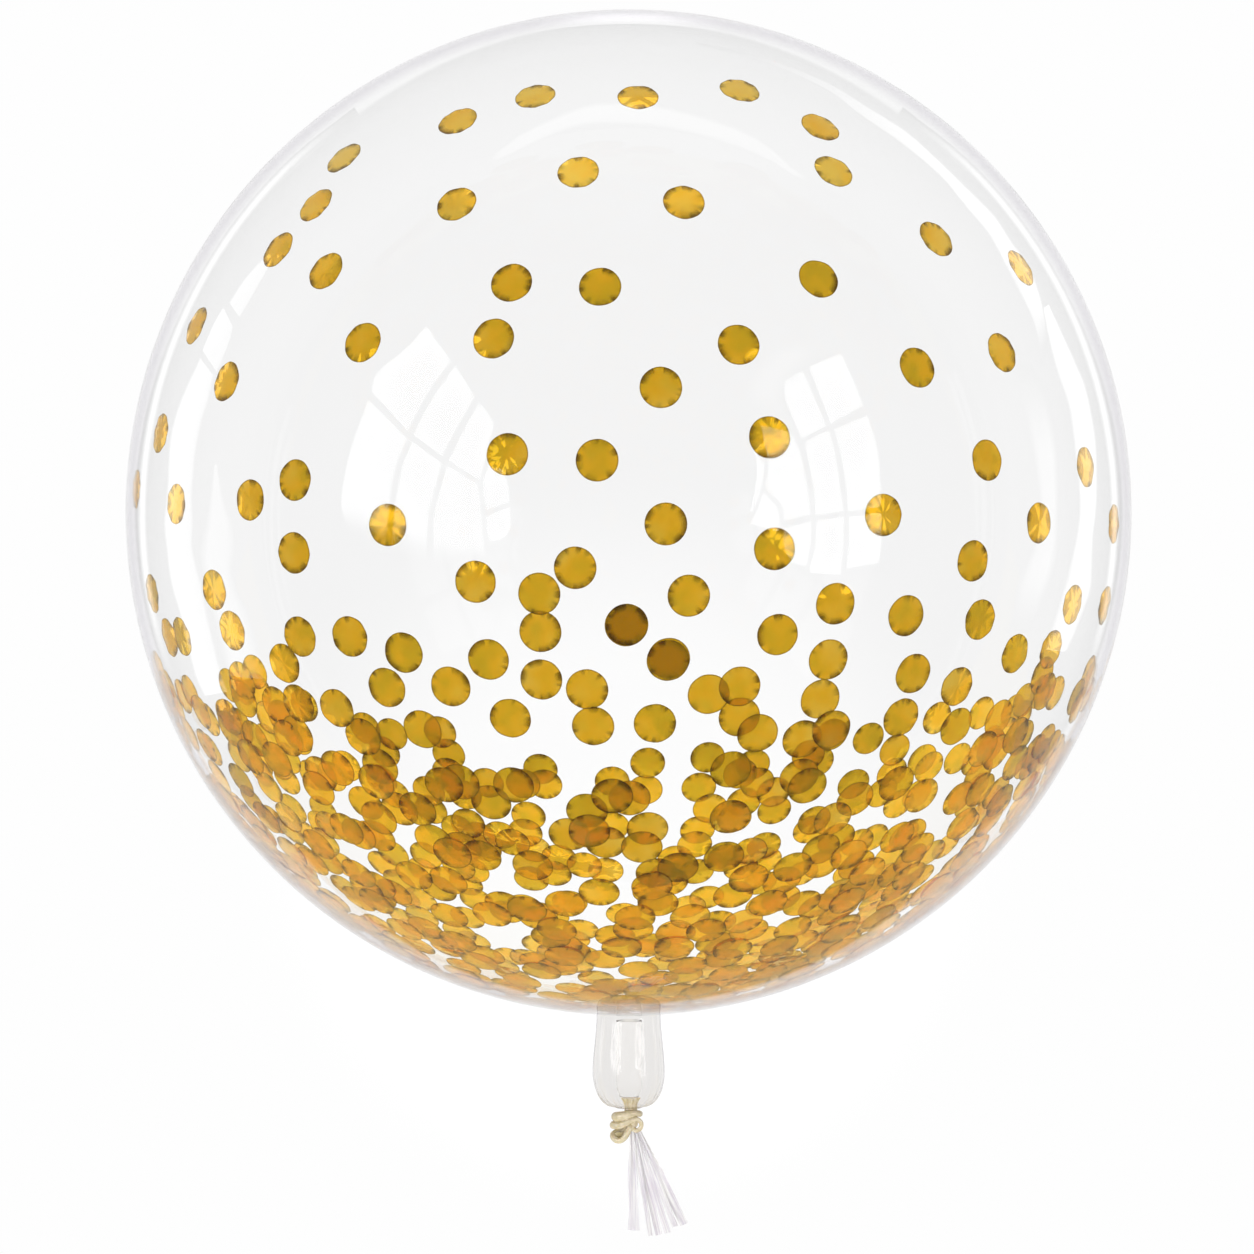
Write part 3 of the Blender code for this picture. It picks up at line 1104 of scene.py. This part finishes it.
# The knot's route, in cord diameters from the knot's centre: to the right, towards the globe, up
# off the floor, and thickness. It wraps the stem, makes an eye on the right and a bight on the left.
KNOT_ROUTE = (
    (0.9, 2.3, -1.1, 1.15), (2.0, 2.2, -0.3, 1.00), (1.5, 2.3, 0.7, 1.00), (0.1, 2.2, 1.3, 1.30),
    (-1.4, 1.9, 1.0, 1.50), (-2.3, 1.7, 0.1, 1.50), (-1.6, 1.5, -0.9, 1.30), (0.0, 1.2, -1.3, 1.10),
    (1.0, 1.0, -1.2, 1.00), (1.1, 0.3, -1.1, 1.00), (0.5, -0.3, -1.2, 1.00), (-0.9, -0.2, -1.3, 1.10),
    (-2.2, 0.1, -0.8, 1.20), (-2.7, 0.2, 0.1, 1.30), (-1.8, 0.2, 0.9, 1.20), (-0.7, 0.6, 1.3, 1.05),
    (0.6, 1.25, 1.4, 0.95), (1.6, 1.3, 1.3, 0.78), (2.3, 0.6, 1.1, 0.70), (2.1, -0.35, 1.0, 0.70),
    (1.3, -0.7, 0.9, 0.75), (0.6, -0.2, 0.7, 0.80), (0.4, 0.3, 0.3, 0.85), (0.0, 0.1, -0.5, 0.95),
    (-0.9, -0.8, -0.9, 1.00), (-2.0, -1.1, -0.8, 1.00), (-2.8, -1.6, -0.1, 1.00), (-2.5, -2.3, 0.6, 1.00),
    (-1.6, -2.5, 1.0, 1.00), (-0.8, -2.0, 1.2, 1.00), (-0.3, -1.2, 1.3, 1.00), (0.2, -0.2, 0.9, 1.00),
    (0.1, 0.5, 0.2, 0.90),
)


@dataclass
class LatexTie:
    """The latex cord: a pleated collar that plugs the mouth, and the knot tied in it under the mouth."""

    balloon: Balloon
    cord: float = 2.8 * MM
    collar_top: float = 4.9 * MM
    collar_waist: float = 3.2 * MM
    collar_rises: float = 4.6 * MM
    collar_shift: float = 1.0 * MM
    collar_lean: float = 0.3 * MM
    collar_dimple: float = 0.4 * MM
    collar_curve: float = 1.6
    collar_grid: tuple[int, int] = (30, 72)
    fold_low: float = 0.1 * MM
    fold_top: float = 0.22 * MM
    fold_between: float = 0.4
    fold_phase: float = 1.0
    plump: float = 1.16
    knot_at: float = 0.31085
    pleats: int = 9
    sides: int = 16
    samples: int = 8
    voxel: float = 0.16 * MM
    soften_times: int = 4
    soften_share: float = 0.5
    web_at: Triple = (-1.75, -1.7, 0.25)
    web_size: Triple = (1.0, 0.7, 0.3)
    web_grid: tuple[int, int] = (9, 20)

    def cord_mesh(self) -> tuple[np.ndarray, list[list[int]]]:
        """Sweeps the cord along the knot's route.

        Returns:
            Its points, in the balloon's directions, and its faces.
        """
        curve = through(np.array(KNOT_ROUTE), self.samples)
        spots = np.stack([
            curve[:, 0] * self.cord,
            self.knot_at - curve[:, 1] * self.cord,
            curve[:, 2] * self.cord,
        ], axis=-1)
        ahead = np.gradient(spots, axis=0)
        ahead /= np.linalg.norm(ahead, axis=-1, keepdims=True)
        side = np.cross(ahead[0], [0.0, 0.0, 1.0])
        rings = []
        turn = turns(self.sides)
        for spot, heading, thick in zip(spots, ahead, curve[:, 3]):
            side = side - heading * (side @ heading)
            side /= np.linalg.norm(side)
            other = np.cross(heading, side)
            round_off = np.cos(turn)[:, None] * side + np.sin(turn)[:, None] * other
            rings.append(spot + round_off * thick * self.cord * self.plump / 2)
        points = np.vstack([*rings, spots[:1], spots[-1:]])
        return points, closed_tube(0, len(spots), self.sides)

    def collar_mesh(self, first: int) -> tuple[np.ndarray, list[list[int]]]:
        """Turns the pleated collar and the stem that runs down into the knot.

        Args:
            first: The number of its first point.

        Returns:
            Its points, in the balloon's directions, and its faces.
        """
        top = self.balloon.mouth_at - self.collar_rises
        rows, columns = self.collar_grid
        share = np.linspace(0, 1, rows)
        along = top + (self.knot_at - top) * share
        flare = np.clip((self.balloon.mouth_at - along) / self.collar_rises, 0, 1) ** self.collar_curve
        radius = self.collar_waist + (self.collar_top - self.collar_waist) * flare
        turn = turns(columns)
        fold = self.fold_low + self.fold_top * flare
        ripple = np.sin(self.pleats * turn)
        ripple += self.fold_between * np.sin(2 * self.pleats * turn + self.fold_phase)
        across = radius[:, None] + fold[:, None] * ripple
        shift = self.collar_shift + self.collar_lean * share
        grid = np.stack([
            shift[:, None] + across * np.cos(turn),
            np.repeat(along[:, None], columns, axis=1),
            across * np.sin(turn),
        ], axis=-1).reshape(-1, 3)
        ends = np.array([[shift[0], top + self.collar_dimple, 0], [shift[-1], self.knot_at, 0]])
        return np.vstack([grid, ends]), closed_tube(first, rows, columns)

    def web_mesh(self, first: int) -> tuple[np.ndarray, list[list[int]]]:
        """Rounds the thin web of latex that the lower bight is stretched round.

        Args:
            first: The number of its first point.

        Returns:
            Its points, in the balloon's directions, and its faces.
        """
        rows, columns = self.web_grid
        polar = np.linspace(0, math.pi, rows + 2)[1:-1, None]
        turn = turns(columns)[None, :]
        ball = np.stack([
            np.sin(polar) * np.cos(turn), np.sin(polar) * np.sin(turn), np.cos(polar) + 0 * turn
        ], axis=-1).reshape(-1, 3)
        ball = np.vstack([ball, [[0, 0, 1], [0, 0, -1]]])
        across, towards, up = (ball * self.web_size + self.web_at).T * self.cord
        points = np.stack([across, self.knot_at - towards, up], axis=-1)
        return points, closed_tube(first, rows, columns)

    def build(self, finish: CreamLatex) -> bpy.types.Object:
        """Builds the tie as one skin and dresses it.

        Args:
            finish: The latex's finish.

        Returns:
            The tie, which replaces the solid one.
        """
        cord, faces = self.cord_mesh()
        collar, more = self.collar_mesh(len(cord))
        web, rest = self.web_mesh(len(cord) + len(collar))
        points = self.balloon.put(np.vstack([cord, collar, web]))
        piece = make_piece("knotted_latex_tie", points, faces + more + rest, finish.make())
        face_outwards(piece)
        remesh = piece.modifiers.new("One skin", "REMESH")
        remesh.mode = "VOXEL"
        remesh.voxel_size = self.voxel
        remesh.use_smooth_shade = True
        soften = piece.modifiers.new("Soften", "SMOOTH")
        soften.iterations = self.soften_times
        soften.factor = self.soften_share
        apply_modifiers(piece)
        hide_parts("latex_tie")
        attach(piece, "root")
        return piece


# Film tail


@dataclass(frozen=True)
class Strip:
    """One strip of the tail: degrees to the right and up and of twist, length and width in millimetres."""

    right: float
    up: float
    twist: float
    length: float
    width: float


STRIPS = (
    Strip(0.0, -3.0, 8, 52.0, 3.4),
    Strip(2.0, 1.0, -8, 51.6, 3.4),
    Strip(8.8, 5.0, 38, 54.8, 2.7),
    Strip(12.4, -2.0, -14, 55.4, 3.5),
    Strip(16.6, 2.0, 30, 55.0, 3.5),
    Strip(21.0, 5.0, -20, 52.8, 3.0),
    Strip(25.0, -2.0, -6, 53.8, 4.2),
)


@dataclass
class FilmTail:
    """The film's end below the knot: a gathered root and the strips slit from it, which droop a little."""

    balloon: Balloon
    root_at: float = 0.3130
    root_right: float = 3.5 * MM
    root_width: float = 5.6 * MM
    thickness: float = 0.12 * MM
    droop: float = 6.0 * MM
    root_spread: float = 0.75
    root_depth: float = 1.1 * MM
    root_narrow: float = 0.42
    root_twist: float = 0.25
    root_spin: float = 0.9
    widest_from: float = 0.5
    sway: float = 0.8 * MM
    sway_angle: float = 3.1
    fold: float = 0.35 * MM
    fold_angle: float = 4.0
    fold_opens: float = 0.7
    depth_step: float = 2.4
    spin_step: float = 1.7
    streaks_apart: float = 0.1
    rows: int = 30
    across: int = 7

    def strip_grid(self, number: int, strip: Strip) -> np.ndarray:
        """Works out the middle surface of one strip.

        Args:
            number: Its number, from the left.
            strip: Its lie and size.

        Returns:
            A grid of points, in the balloon's directions.
        """
        share = number / (len(STRIPS) - 1) - 0.5
        fan_turn, rise = math.radians(strip.right), math.radians(strip.up)
        heading = np.array([
            math.sin(fan_turn) * math.cos(rise), math.cos(fan_turn) * math.cos(rise), math.sin(rise)
        ])
        flat = np.array([math.cos(fan_turn), -math.sin(fan_turn), 0])
        deep = np.cross(flat, heading)
        start = np.array([
            self.root_right + share * self.root_width * self.root_spread,
            self.root_at,
            self.root_depth * math.sin(self.depth_step * number),
        ])
        root_spin = self.root_spin * math.sin(self.spin_step * number)
        grid = []
        for reach in np.linspace(0, 1, self.rows):
            twist = math.radians(strip.twist) * (self.root_twist + (1 - self.root_twist) * reach)
            spin = twist + root_spin * (1 - reach) ** 2
            side = math.cos(spin) * flat + math.sin(spin) * deep
            skin = np.cross(side, heading)
            spread = self.root_narrow + (1 - self.root_narrow) * smooth_step(0.0, self.widest_from, reach)
            width = strip.width * MM * spread
            sway = self.sway * math.sin(self.sway_angle * reach + number)
            middle = start + heading * strip.length * MM * reach + deep * sway
            middle[2] -= self.droop * reach**2
            row = []
            for place in np.linspace(-1, 1, self.across):
                fold = self.fold * math.cos(place * self.fold_angle + number) * (1 - self.fold_opens * reach)
                row.append(middle + side * width / 2 * place + skin * fold)
            grid.append(row)
        return np.array(grid)

    def build(self, finish: SlitFilm) -> bpy.types.Object:
        """Builds the strips as one piece and dresses it.

        Args:
            finish: The film's finish.

        Returns:
            The tail, which replaces the solid one.
        """
        points, faces, lies = [], [], []
        for number, strip in enumerate(STRIPS):
            grid = self.strip_grid(number, strip)
            faces += sheet(len(points), self.rows, self.across)
            points.extend(grid.reshape(-1, 3))
            across = np.linspace(-1, 1, self.across) * strip.width * MM / 2 + self.streaks_apart * number
            lie = np.stack(np.meshgrid(across, np.linspace(0, 1, self.rows) * strip.length * MM), axis=-1)
            lies.append(np.concatenate([lie, 0 * lie[..., :1]], axis=-1).reshape(-1, 3))
        piece = make_piece("slit_film_tail", self.balloon.put(np.array(points)), faces, finish.make())
        store(piece, "local", np.vstack(lies))
        shell = piece.modifiers.new("Film", "SOLIDIFY")
        shell.thickness = self.thickness
        shell.offset = 0.0
        apply_modifiers(piece)
        piece.data.set_sharp_from_angle(angle=SHARP)
        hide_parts("film_tail")
        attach(piece, "root")
        return piece


# Studio


# The globe in the photograph: its middle's column and row, and its radius, in pixels
GLOBE_SEEN = (628.5, 514.0, 503.3)
RIM_ROWS = 9


class Mirror(Enum):
    """What mirrors a catch light: the outside of the film, or the foil inside it."""

    FILM = "film"
    FOIL = "foil"


@dataclass(frozen=True)
class CatchLight:
    """A pane or strip of light, by where the film mirrors it in the photograph.

    Each row is a pair of pixels, one on either edge, as column, row, column, row.
    """

    name: str
    rows: tuple[tuple[float, float, float, float], ...]
    glow: float = 11.0
    rest: float = 0.4
    glow_on_foil: float = 1.5
    soft: float = 0.05
    fades: Pair = (0.0, 0.0)
    steps: int = 4

    def corners(self) -> np.ndarray:
        """Works out rows of pixels, finely spaced along the light, with softened columns across it.

        Returns:
            A grid of pixels, as column and row.
        """
        rows = through(np.array(self.rows, float), self.steps)
        shares = np.array([0, self.soft, 0.5, 1 - self.soft, 1])[None, :, None]
        return rows[:, None, :2] * (1 - shares) + rows[:, None, 2:] * shares

    def glows(self, count: int) -> np.ndarray:
        """Works out how brightly each point glows.

        Args:
            count: How many rows of points there are.

        Returns:
            Shares from 0 to 1, one row for each row of points.
        """
        across = np.array([0.0, 1.0, 1.0, 1.0, 0.0])
        share = np.linspace(0, 1, count)
        starts, stops = self.fades
        before = -0.001
        ends = smooth_step(before, starts, share) * smooth_step(before, stops, 1 - share)
        return ends[:, None] * across[None, :]


def along_rim(first: float, last: float, inner: float, outer: float) -> tuple[tuple[float, ...], ...]:
    """Outlines a strip that runs round the globe's rim in the photograph.

    Args:
        first: Where it starts, in degrees clockwise from the top.
        last: Where it ends.
        inner: Its inner edge, as a share of the globe's radius in the photograph.
        outer: Its outer edge.

    Returns:
        Rows of pixels, as a catch light takes them.
    """
    column, row, radius = GLOBE_SEEN
    rows = []
    for degrees in np.linspace(first, last, RIM_ROWS):
        across, up = math.sin(math.radians(degrees)) * radius, math.cos(math.radians(degrees)) * radius
        rows.append((column + across * inner, row - up * inner, column + across * outer, row - up * outer))
    return tuple(rows)


# Panes of the left window, then of the right one, as the photograph shows them mirrored
WINDOW_PANES = (
    CatchLight("left_pane_1", (
        (426, 325, 451.5, 362), (407, 346, 437, 381), (385, 364, 423, 403), (374, 376, 415, 418),
        (371, 391, 408.5, 432),
    )),
    CatchLight("left_pane_2", (
        (455, 364.5, 475, 397.5), (435, 393, 457, 429), (420, 419, 448, 446), (413, 434.5, 443, 457),
    )),
    CatchLight("left_pane_3", (
        (479, 401, 495, 423), (463, 430, 489, 445), (454, 448, 485.5, 462), (447.5, 459.5, 480, 480),
    )),
    CatchLight("left_pane_4", (
        (368, 399, 408, 439), (353, 439, 397.5, 465), (344.4, 471.6, 392, 492), (340.1, 504, 389, 520),
        (347, 530, 386, 548),
    ), fades=(0.0, 0.3)),
    CatchLight("left_pane_5", (
        (412, 441, 442.5, 463.5), (401.5, 466, 434, 493), (395, 500, 428.5, 520), (390, 549, 427, 561),
    ), fades=(0.0, 0.25)),
    CatchLight("left_pane_6", (
        (446.5, 465.5, 478, 484.5), (438, 493.5, 481.5, 508), (432.6, 517, 483.5, 534),
        (432.5, 565, 487, 559),
    ), fades=(0.0, 0.25)),
    CatchLight("left_pane_7", ((488, 466, 504, 470), (482.5, 483, 509, 488), (485.5, 510, 510, 502))),
    CatchLight("left_pane_8", ((486, 516, 510.5, 507), (487, 535, 510, 530), (490, 541, 500, 540))),
    CatchLight("right_pane_1", ((808, 367, 842, 353), (818, 393, 853, 377), (830, 424, 864, 405))),
    CatchLight("right_pane_2", ((778, 384, 803.5, 370.5), (788, 409, 814, 396), (801, 439, 827, 425.5))),
    CatchLight("right_pane_3", (
        (833.5, 429.6, 868, 415.6), (840, 456, 878, 447), (844.5, 482, 881.3, 480), (847.5, 511.5, 882, 507),
    )),
    CatchLight("right_pane_4", (
        (803.3, 442.5, 829.5, 430), (808.5, 465, 836, 456), (813, 490, 840.5, 483), (815.2, 515.8, 844, 511),
    )),
    CatchLight("right_pane_5", ((848.5, 517, 882, 512.5), (848, 543, 882, 540), (845.5, 568.5, 880.5, 562))),
    CatchLight("right_pane_6", ((816, 521, 844.5, 516.5), (814, 548, 843.5, 546), (808, 572, 841, 575))),
    CatchLight("right_pane_7", (
        (760, 425, 791, 432), (768, 465, 800, 451), (765, 488, 807, 480), (781, 504, 810, 500),
        (783, 521, 811, 514.5),
    )),
    CatchLight("right_pane_8", ((754, 450, 765.5, 465), (757, 475, 762, 487), (750, 512, 753, 513))),
    CatchLight("right_pane_9", ((763, 492, 778, 507), (757, 510, 780, 524), (749, 523, 779, 532))),
    CatchLight("right_pane_10", ((784, 529, 811.5, 521), (783, 545, 811, 545), (790, 562, 806, 566))),
    CatchLight(
        "right_curtain",
        ((800, 338, 832, 345), (770, 352, 800, 372), (748, 378, 785, 395), (738, 408, 790, 425)),
        glow=2.5, soft=0.4, fades=(0.3, 0.3),
    ),
)

# Low strips of daylight round the floor, which the film mirrors along its rim
FLOOR_STRIPS = (
    CatchLight("far_strip", (
        (482, 162.5, 484, 165.5), (500, 149, 505, 158), (521, 132.5, 530, 146), (545, 120.5, 553, 135.5),
        (569, 110, 572, 129), (590, 102.5, 596, 125), (620, 101, 626, 125.6), (656, 104, 662, 128.6),
        (695, 113, 698, 136.4), (740, 128, 734, 147.5), (770, 146, 768, 161.5), (797, 171.5, 794, 176.5),
        (812, 177.5, 811, 181.5),
    ), glow=2.6, soft=0.25, fades=(0.1, 0.1)),
    CatchLight("left_strip_upper", (
        (262, 259, 269, 267), (243, 280, 254, 294), (229, 302, 240, 318),
    ), glow=2.4, soft=0.1),
    CatchLight("left_strip_middle", (
        (223, 307, 233, 327), (213, 324, 229, 343), (202, 350, 217, 372),
    ), glow=2.4),
    CatchLight("left_strip_lower", (
        (199.5, 357, 214, 376), (183, 392, 210, 397), (172, 424, 202, 424), (168, 451, 196.7, 451),
        (167, 478, 194, 478), (165.3, 500, 193, 500), (163, 523, 194, 526), (165.3, 546, 193, 546),
        (167.6, 569, 197.6, 567), (172.2, 592, 203.4, 592), (179.2, 615, 209.2, 620), (187.2, 648, 216, 648),
        (194, 675, 222, 673), (203.4, 696, 229, 691.6),
    ), glow=2.5, soft=0.12),
    CatchLight("left_inner_strip", (
        (214, 465, 217, 465), (209, 500, 224, 500), (203, 530, 234, 528), (198, 553, 236, 553),
        (201, 569, 233, 569), (206, 592, 238, 592), (212, 618, 248, 612), (219, 645, 259, 650),
        (226, 675, 266, 680),
    ), glow=2.4, soft=0.25),
    CatchLight("right_strip_upper", (
        (695, 44, 696, 42.5), (740, 55, 741, 51.5), (779, 68, 781, 63), (827, 90, 831, 84),
        (860, 115, 867, 106), (900, 143, 907, 131), (940, 176, 940, 161), (967, 209, 967, 187),
        (989, 236, 994, 214),
        (1005, 266, 1011, 239), (1019, 293, 1030, 266), (1034, 325, 1043, 304), (1042, 365, 1048, 345),
    ), glow=2.3, soft=0.15, fades=(0.6, 0.1)),
    CatchLight("right_strip_lower", (
        (1043, 309, 1049, 304), (1049, 342, 1062, 331), (1057, 374, 1076, 361), (1068, 407, 1087, 388),
        (1073, 442, 1096, 435), (1077, 475, 1098, 475), (1079, 506, 1097, 510), (1077, 529, 1094, 536),
        (1071, 557, 1093, 564), (1065, 580, 1092, 589), (1058.5, 603, 1085, 610), (1051.5, 626, 1077, 631),
        (1044, 650, 1067.7, 651.5),
    ), glow=2.5, soft=0.15),
    CatchLight("right_inner_strip", (
        (1017, 363, 1030, 363), (1021, 401, 1049, 401), (1030, 442, 1057, 442), (1036, 475, 1059, 475),
        (1039, 510, 1059, 510), (1035, 541, 1058.5, 541), (1026, 564, 1056, 564), (1017, 587, 1049, 587),
        (1014, 610, 1040, 610), (1007, 633, 1030, 633),
    ), glow=2.3, soft=0.25, fades=(0.3, 0.3)),
    CatchLight("top_rim_strip", (
        (524, 22, 527, 33), (559, 16, 561, 28), (593.4, 13, 594.4, 25), (628.5, 12, 628.5, 24),
        (663.6, 13, 662.6, 25), (698, 16, 696, 28), (733, 22, 730, 33),
    ), glow=1.35, rest=0.991, soft=0.35, fades=(0.45, 0.45)),
    *(
        CatchLight(name, along_rim(*span, 0.957, 0.975), glow=1.38, rest=0.56, soft=0.4, fades=(0.2, 0.2))
        for name, span in (("left_rim_line", (-112, -34)), ("right_rim_line", (34, 112)))
    ),
)

@dataclass
class Studio:
    """A white board on a pale floor, two windows and even daylight."""

    balloon: Balloon
    view: Viewpoint
    floor_drop: float = 0.5 * MM
    floor_size: float = 14.0
    board_across: float = 0.405
    board_far: float = 0.45
    board_near: float = 0.413
    board_round: float = 5.0
    board_edge: float = 0.08
    board_glow: float = 0.991
    floor_glow: float = 0.56
    near_edge: float = 0.03
    near_glow: float = 0.78
    near_tint: str = "#FFEFC2"
    backlight: float = 0.08
    backlight_at: Triple = (0.0, -0.18, 0.0)
    backlight_over: Pair = (0.22, 0.09)
    sky_glow: float = 0.38
    far_glow: float = 0.9
    far_over: Pair = (0.98, 0.82)
    first_layer: float = 0.9
    layer_step: float = 0.05
    key_strength: float = 2.8
    key_softness: float = 50.0
    key_turn: Triple = (26.0, -8.0, 0.0)
    lights_off: float = 6.0
    film_bounces: int = 24
    gloss_bounces: int = 8
    clear_bounces: int = 16

    def floor(self) -> bpy.types.Object:
        """Builds the floor with the bright board under the balloon.

        Returns:
            The floor.
        """
        half = self.floor_size / 2
        low = -self.floor_drop
        points = np.array([[-half, -half, low], [half, -half, low], [half, half, low], [-half, half, low]])
        material, tree = new_material("Backlit studio floor")
        tree.nodes.clear()
        place = add_node(tree, "NewGeometry").outputs["Position"]
        split = add_node(tree, "SeparateXYZ", {0: place})
        parts = []
        for axis, kind, size in (("X", "ABSOLUTE", self.board_across), ("Y", "MAXIMUM", self.board_far)):
            share = add_node(tree, "Math", {"operation": "DIVIDE", 0: split.outputs[axis], 1: size})
            side = add_node(tree, "Math", {"operation": kind, 0: share, 1: 0.0})
            parts.append(add_node(tree, "Math", {"operation": "POWER", 0: side, 1: self.board_round}))
        both = add_node(tree, "Math", {"operation": "ADD", 0: parts[0], 1: parts[1]})
        reach = add_node(tree, "Math", {"operation": "POWER", 0: both, 1: 1 / self.board_round})
        settings = {"From Min": 1.0, "From Max": 1.0 + self.board_edge, "To Min": self.board_glow}
        settings |= {"To Max": self.floor_glow, "Value": reach}
        board = add_node(tree, "MapRange", {**SMOOTH, **settings})
        settings = {"From Min": -self.board_near, "From Max": -self.board_near - self.near_edge}
        near = add_node(tree, "MapRange", {**SMOOTH, **settings, "Value": split.outputs["Y"]})
        level = add_node(tree, "Mix", {"data_type": "FLOAT", 0: near, 2: board, 3: self.near_glow})
        away = add_node(tree, "VectorMath", {"operation": "DISTANCE", 0: place, 1: self.backlight_at})
        starts, ends = self.backlight_over
        settings = {"From Min": starts, "From Max": ends, "To Max": self.backlight}
        lift = add_node(tree, "MapRange", {**SMOOTH, **settings, "Value": away.outputs["Value"]})
        whole = add_node(tree, "Math", {"operation": "ADD", 0: level, 1: lift})
        # The near floor's warm tint is painted light, for gold light thrown back from the drift
        settings = {"data_type": "RGBA", 0: near, 6: linear(WHITE), 7: linear(self.near_tint)}
        tint = add_node(tree, "Mix", settings)
        light = add_node(tree, "Emission", {"Color": tint.outputs[2], "Strength": whole})
        add_node(tree, "OutputMaterial", {"Surface": light})
        piece = make_piece("studio_floor", points, [[0, 1, 2, 3]], material)
        return piece

    def catch_light(self, light: CatchLight, layer: int) -> None:
        """Builds one pane or strip of light where the film mirrors it as in the photograph.

        It is made twice: once for what the film's outside mirrors, and dimmer for what the foil inside does.

        Args:
            light: The light.
            layer: Its layer over the floor, so that strips don't meet.
        """
        low = -self.floor_drop * (self.first_layer - self.layer_step * layer)
        grid = light.corners()
        rows, columns = grid.shape[:2]
        points = np.array([
            self.view.mirrored(column, row, self.balloon, low, self.lights_off)
            for column, row in grid.reshape(-1, 2)
        ])
        for mirror, glow in ((Mirror.FILM, light.glow), (Mirror.FOIL, light.glow_on_foil)):
            material, tree = new_material("Mirrored daylight")
            material.cycles.emission_sampling = "NONE"
            tree.nodes.clear()
            share = add_node(tree, "Attribute", {"attribute_name": "glow"}).outputs["Fac"]
            level = add_node(tree, "MapRange", {"Value": share, "To Min": light.rest, "To Max": glow})
            shine = add_node(tree, "Emission", {"Color": linear(WHITE), "Strength": level})
            add_node(tree, "OutputMaterial", {"Surface": shine})
            piece = make_piece(light.name, points, sheet(0, rows, columns), material)
            store(piece, "glow", light.glows(rows).ravel())
            piece.visible_transmission = mirror is Mirror.FOIL
            piece.visible_glossy = mirror is Mirror.FILM
            piece.visible_diffuse = False
            piece.visible_camera = False
            piece.visible_shadow = False

    def daylight(self) -> bpy.types.World:
        """Makes the even daylight, brighter low down at the far side.

        Returns:
            The world.
        """
        world = bpy.data.worlds.new("Studio daylight")
        bpy.context.scene.world = world
        world.use_nodes = True
        tree = world.node_tree
        tree.nodes.clear()
        place = add_node(tree, "TexCoord").outputs["Generated"]
        split = add_node(tree, "SeparateXYZ", {0: place})
        low, high = self.far_over
        settings = {"From Min": low, "From Max": high, "To Min": self.far_glow, "To Max": self.sky_glow}
        level = add_node(tree, "MapRange", {**SMOOTH, **settings, "Value": split.outputs["Y"]})
        light = add_node(tree, "Background", {"Color": linear(WHITE), "Strength": level})
        add_node(tree, "OutputWorld", {0: light})
        return world

    def key(self) -> None:
        """Adds the soft key light for the matt parts, which the gloss of film and foil doesn't mirror."""
        data = bpy.data.lights.new("key", "SUN")
        data.energy = self.key_strength
        data.angle = math.radians(self.key_softness)
        light = bpy.data.objects.new("key", data)
        bpy.context.scene.collection.objects.link(light)
        light.rotation_euler = [math.radians(degrees) for degrees in self.key_turn]
        light.visible_glossy = False
        light.visible_transmission = False

    def build(self) -> None:
        """Sets up the camera, the floor, the windows, the daylight and how colours and glass are shown."""
        self.view.place(self.balloon)
        self.floor()
        self.key()
        for layer, light in enumerate((*WINDOW_PANES, *FLOOR_STRIPS)):
            self.catch_light(light, layer)
        self.daylight()
        scene = bpy.context.scene
        scene.view_settings.view_transform = "Standard"
        scene.cycles.blur_glossy = 0.0
        scene.cycles.max_bounces = self.film_bounces
        scene.cycles.transmission_bounces = self.film_bounces
        scene.cycles.glossy_bounces = self.gloss_bounces
        scene.cycles.transparent_max_bounces = self.clear_bounces


def main() -> None:
    """Builds the studio and the balloon's pieces in order, and reports each."""
    logging.basicConfig(level=logging.INFO, format="%(name)s: %(message)s")
    balloon = Balloon()
    view = Viewpoint()
    Studio(balloon, view).build()
    # The third colour of each film is its painted rim shade, seen where the film is edge-on
    neck_film = BlownFilm(
        "Unstretched clear film", "#F3F2F1", "#C4C0C8", 1.25,
        ripple=1.8 * MM, ripple_height=0.05 * MM, drawn=7.0,
    )
    sleeve_film = BlownFilm(
        "Filling sleeve film", "#FEFEFE", "#E9E7EA", 1.25, ripple=2.4 * MM, drawn=7.0, milk=0.04
    )
    film = BubbleFilm(balloon).build(BlownFilm(), neck_film)
    pieces = [film]
    pieces.append(FillingSleeve(balloon).build(sleeve_film.make()))
    pieces += Confetti(balloon, view).build(GoldFoil())
    pieces.append(LatexTie(balloon).build(CreamLatex()))
    pieces.append(FilmTail(balloon).build(SlitFilm()))
    for piece in pieces:
        LOG.info("%s: %d faces", piece.name, len(piece.data.polygons))


if __name__ == "__main__":
    main()
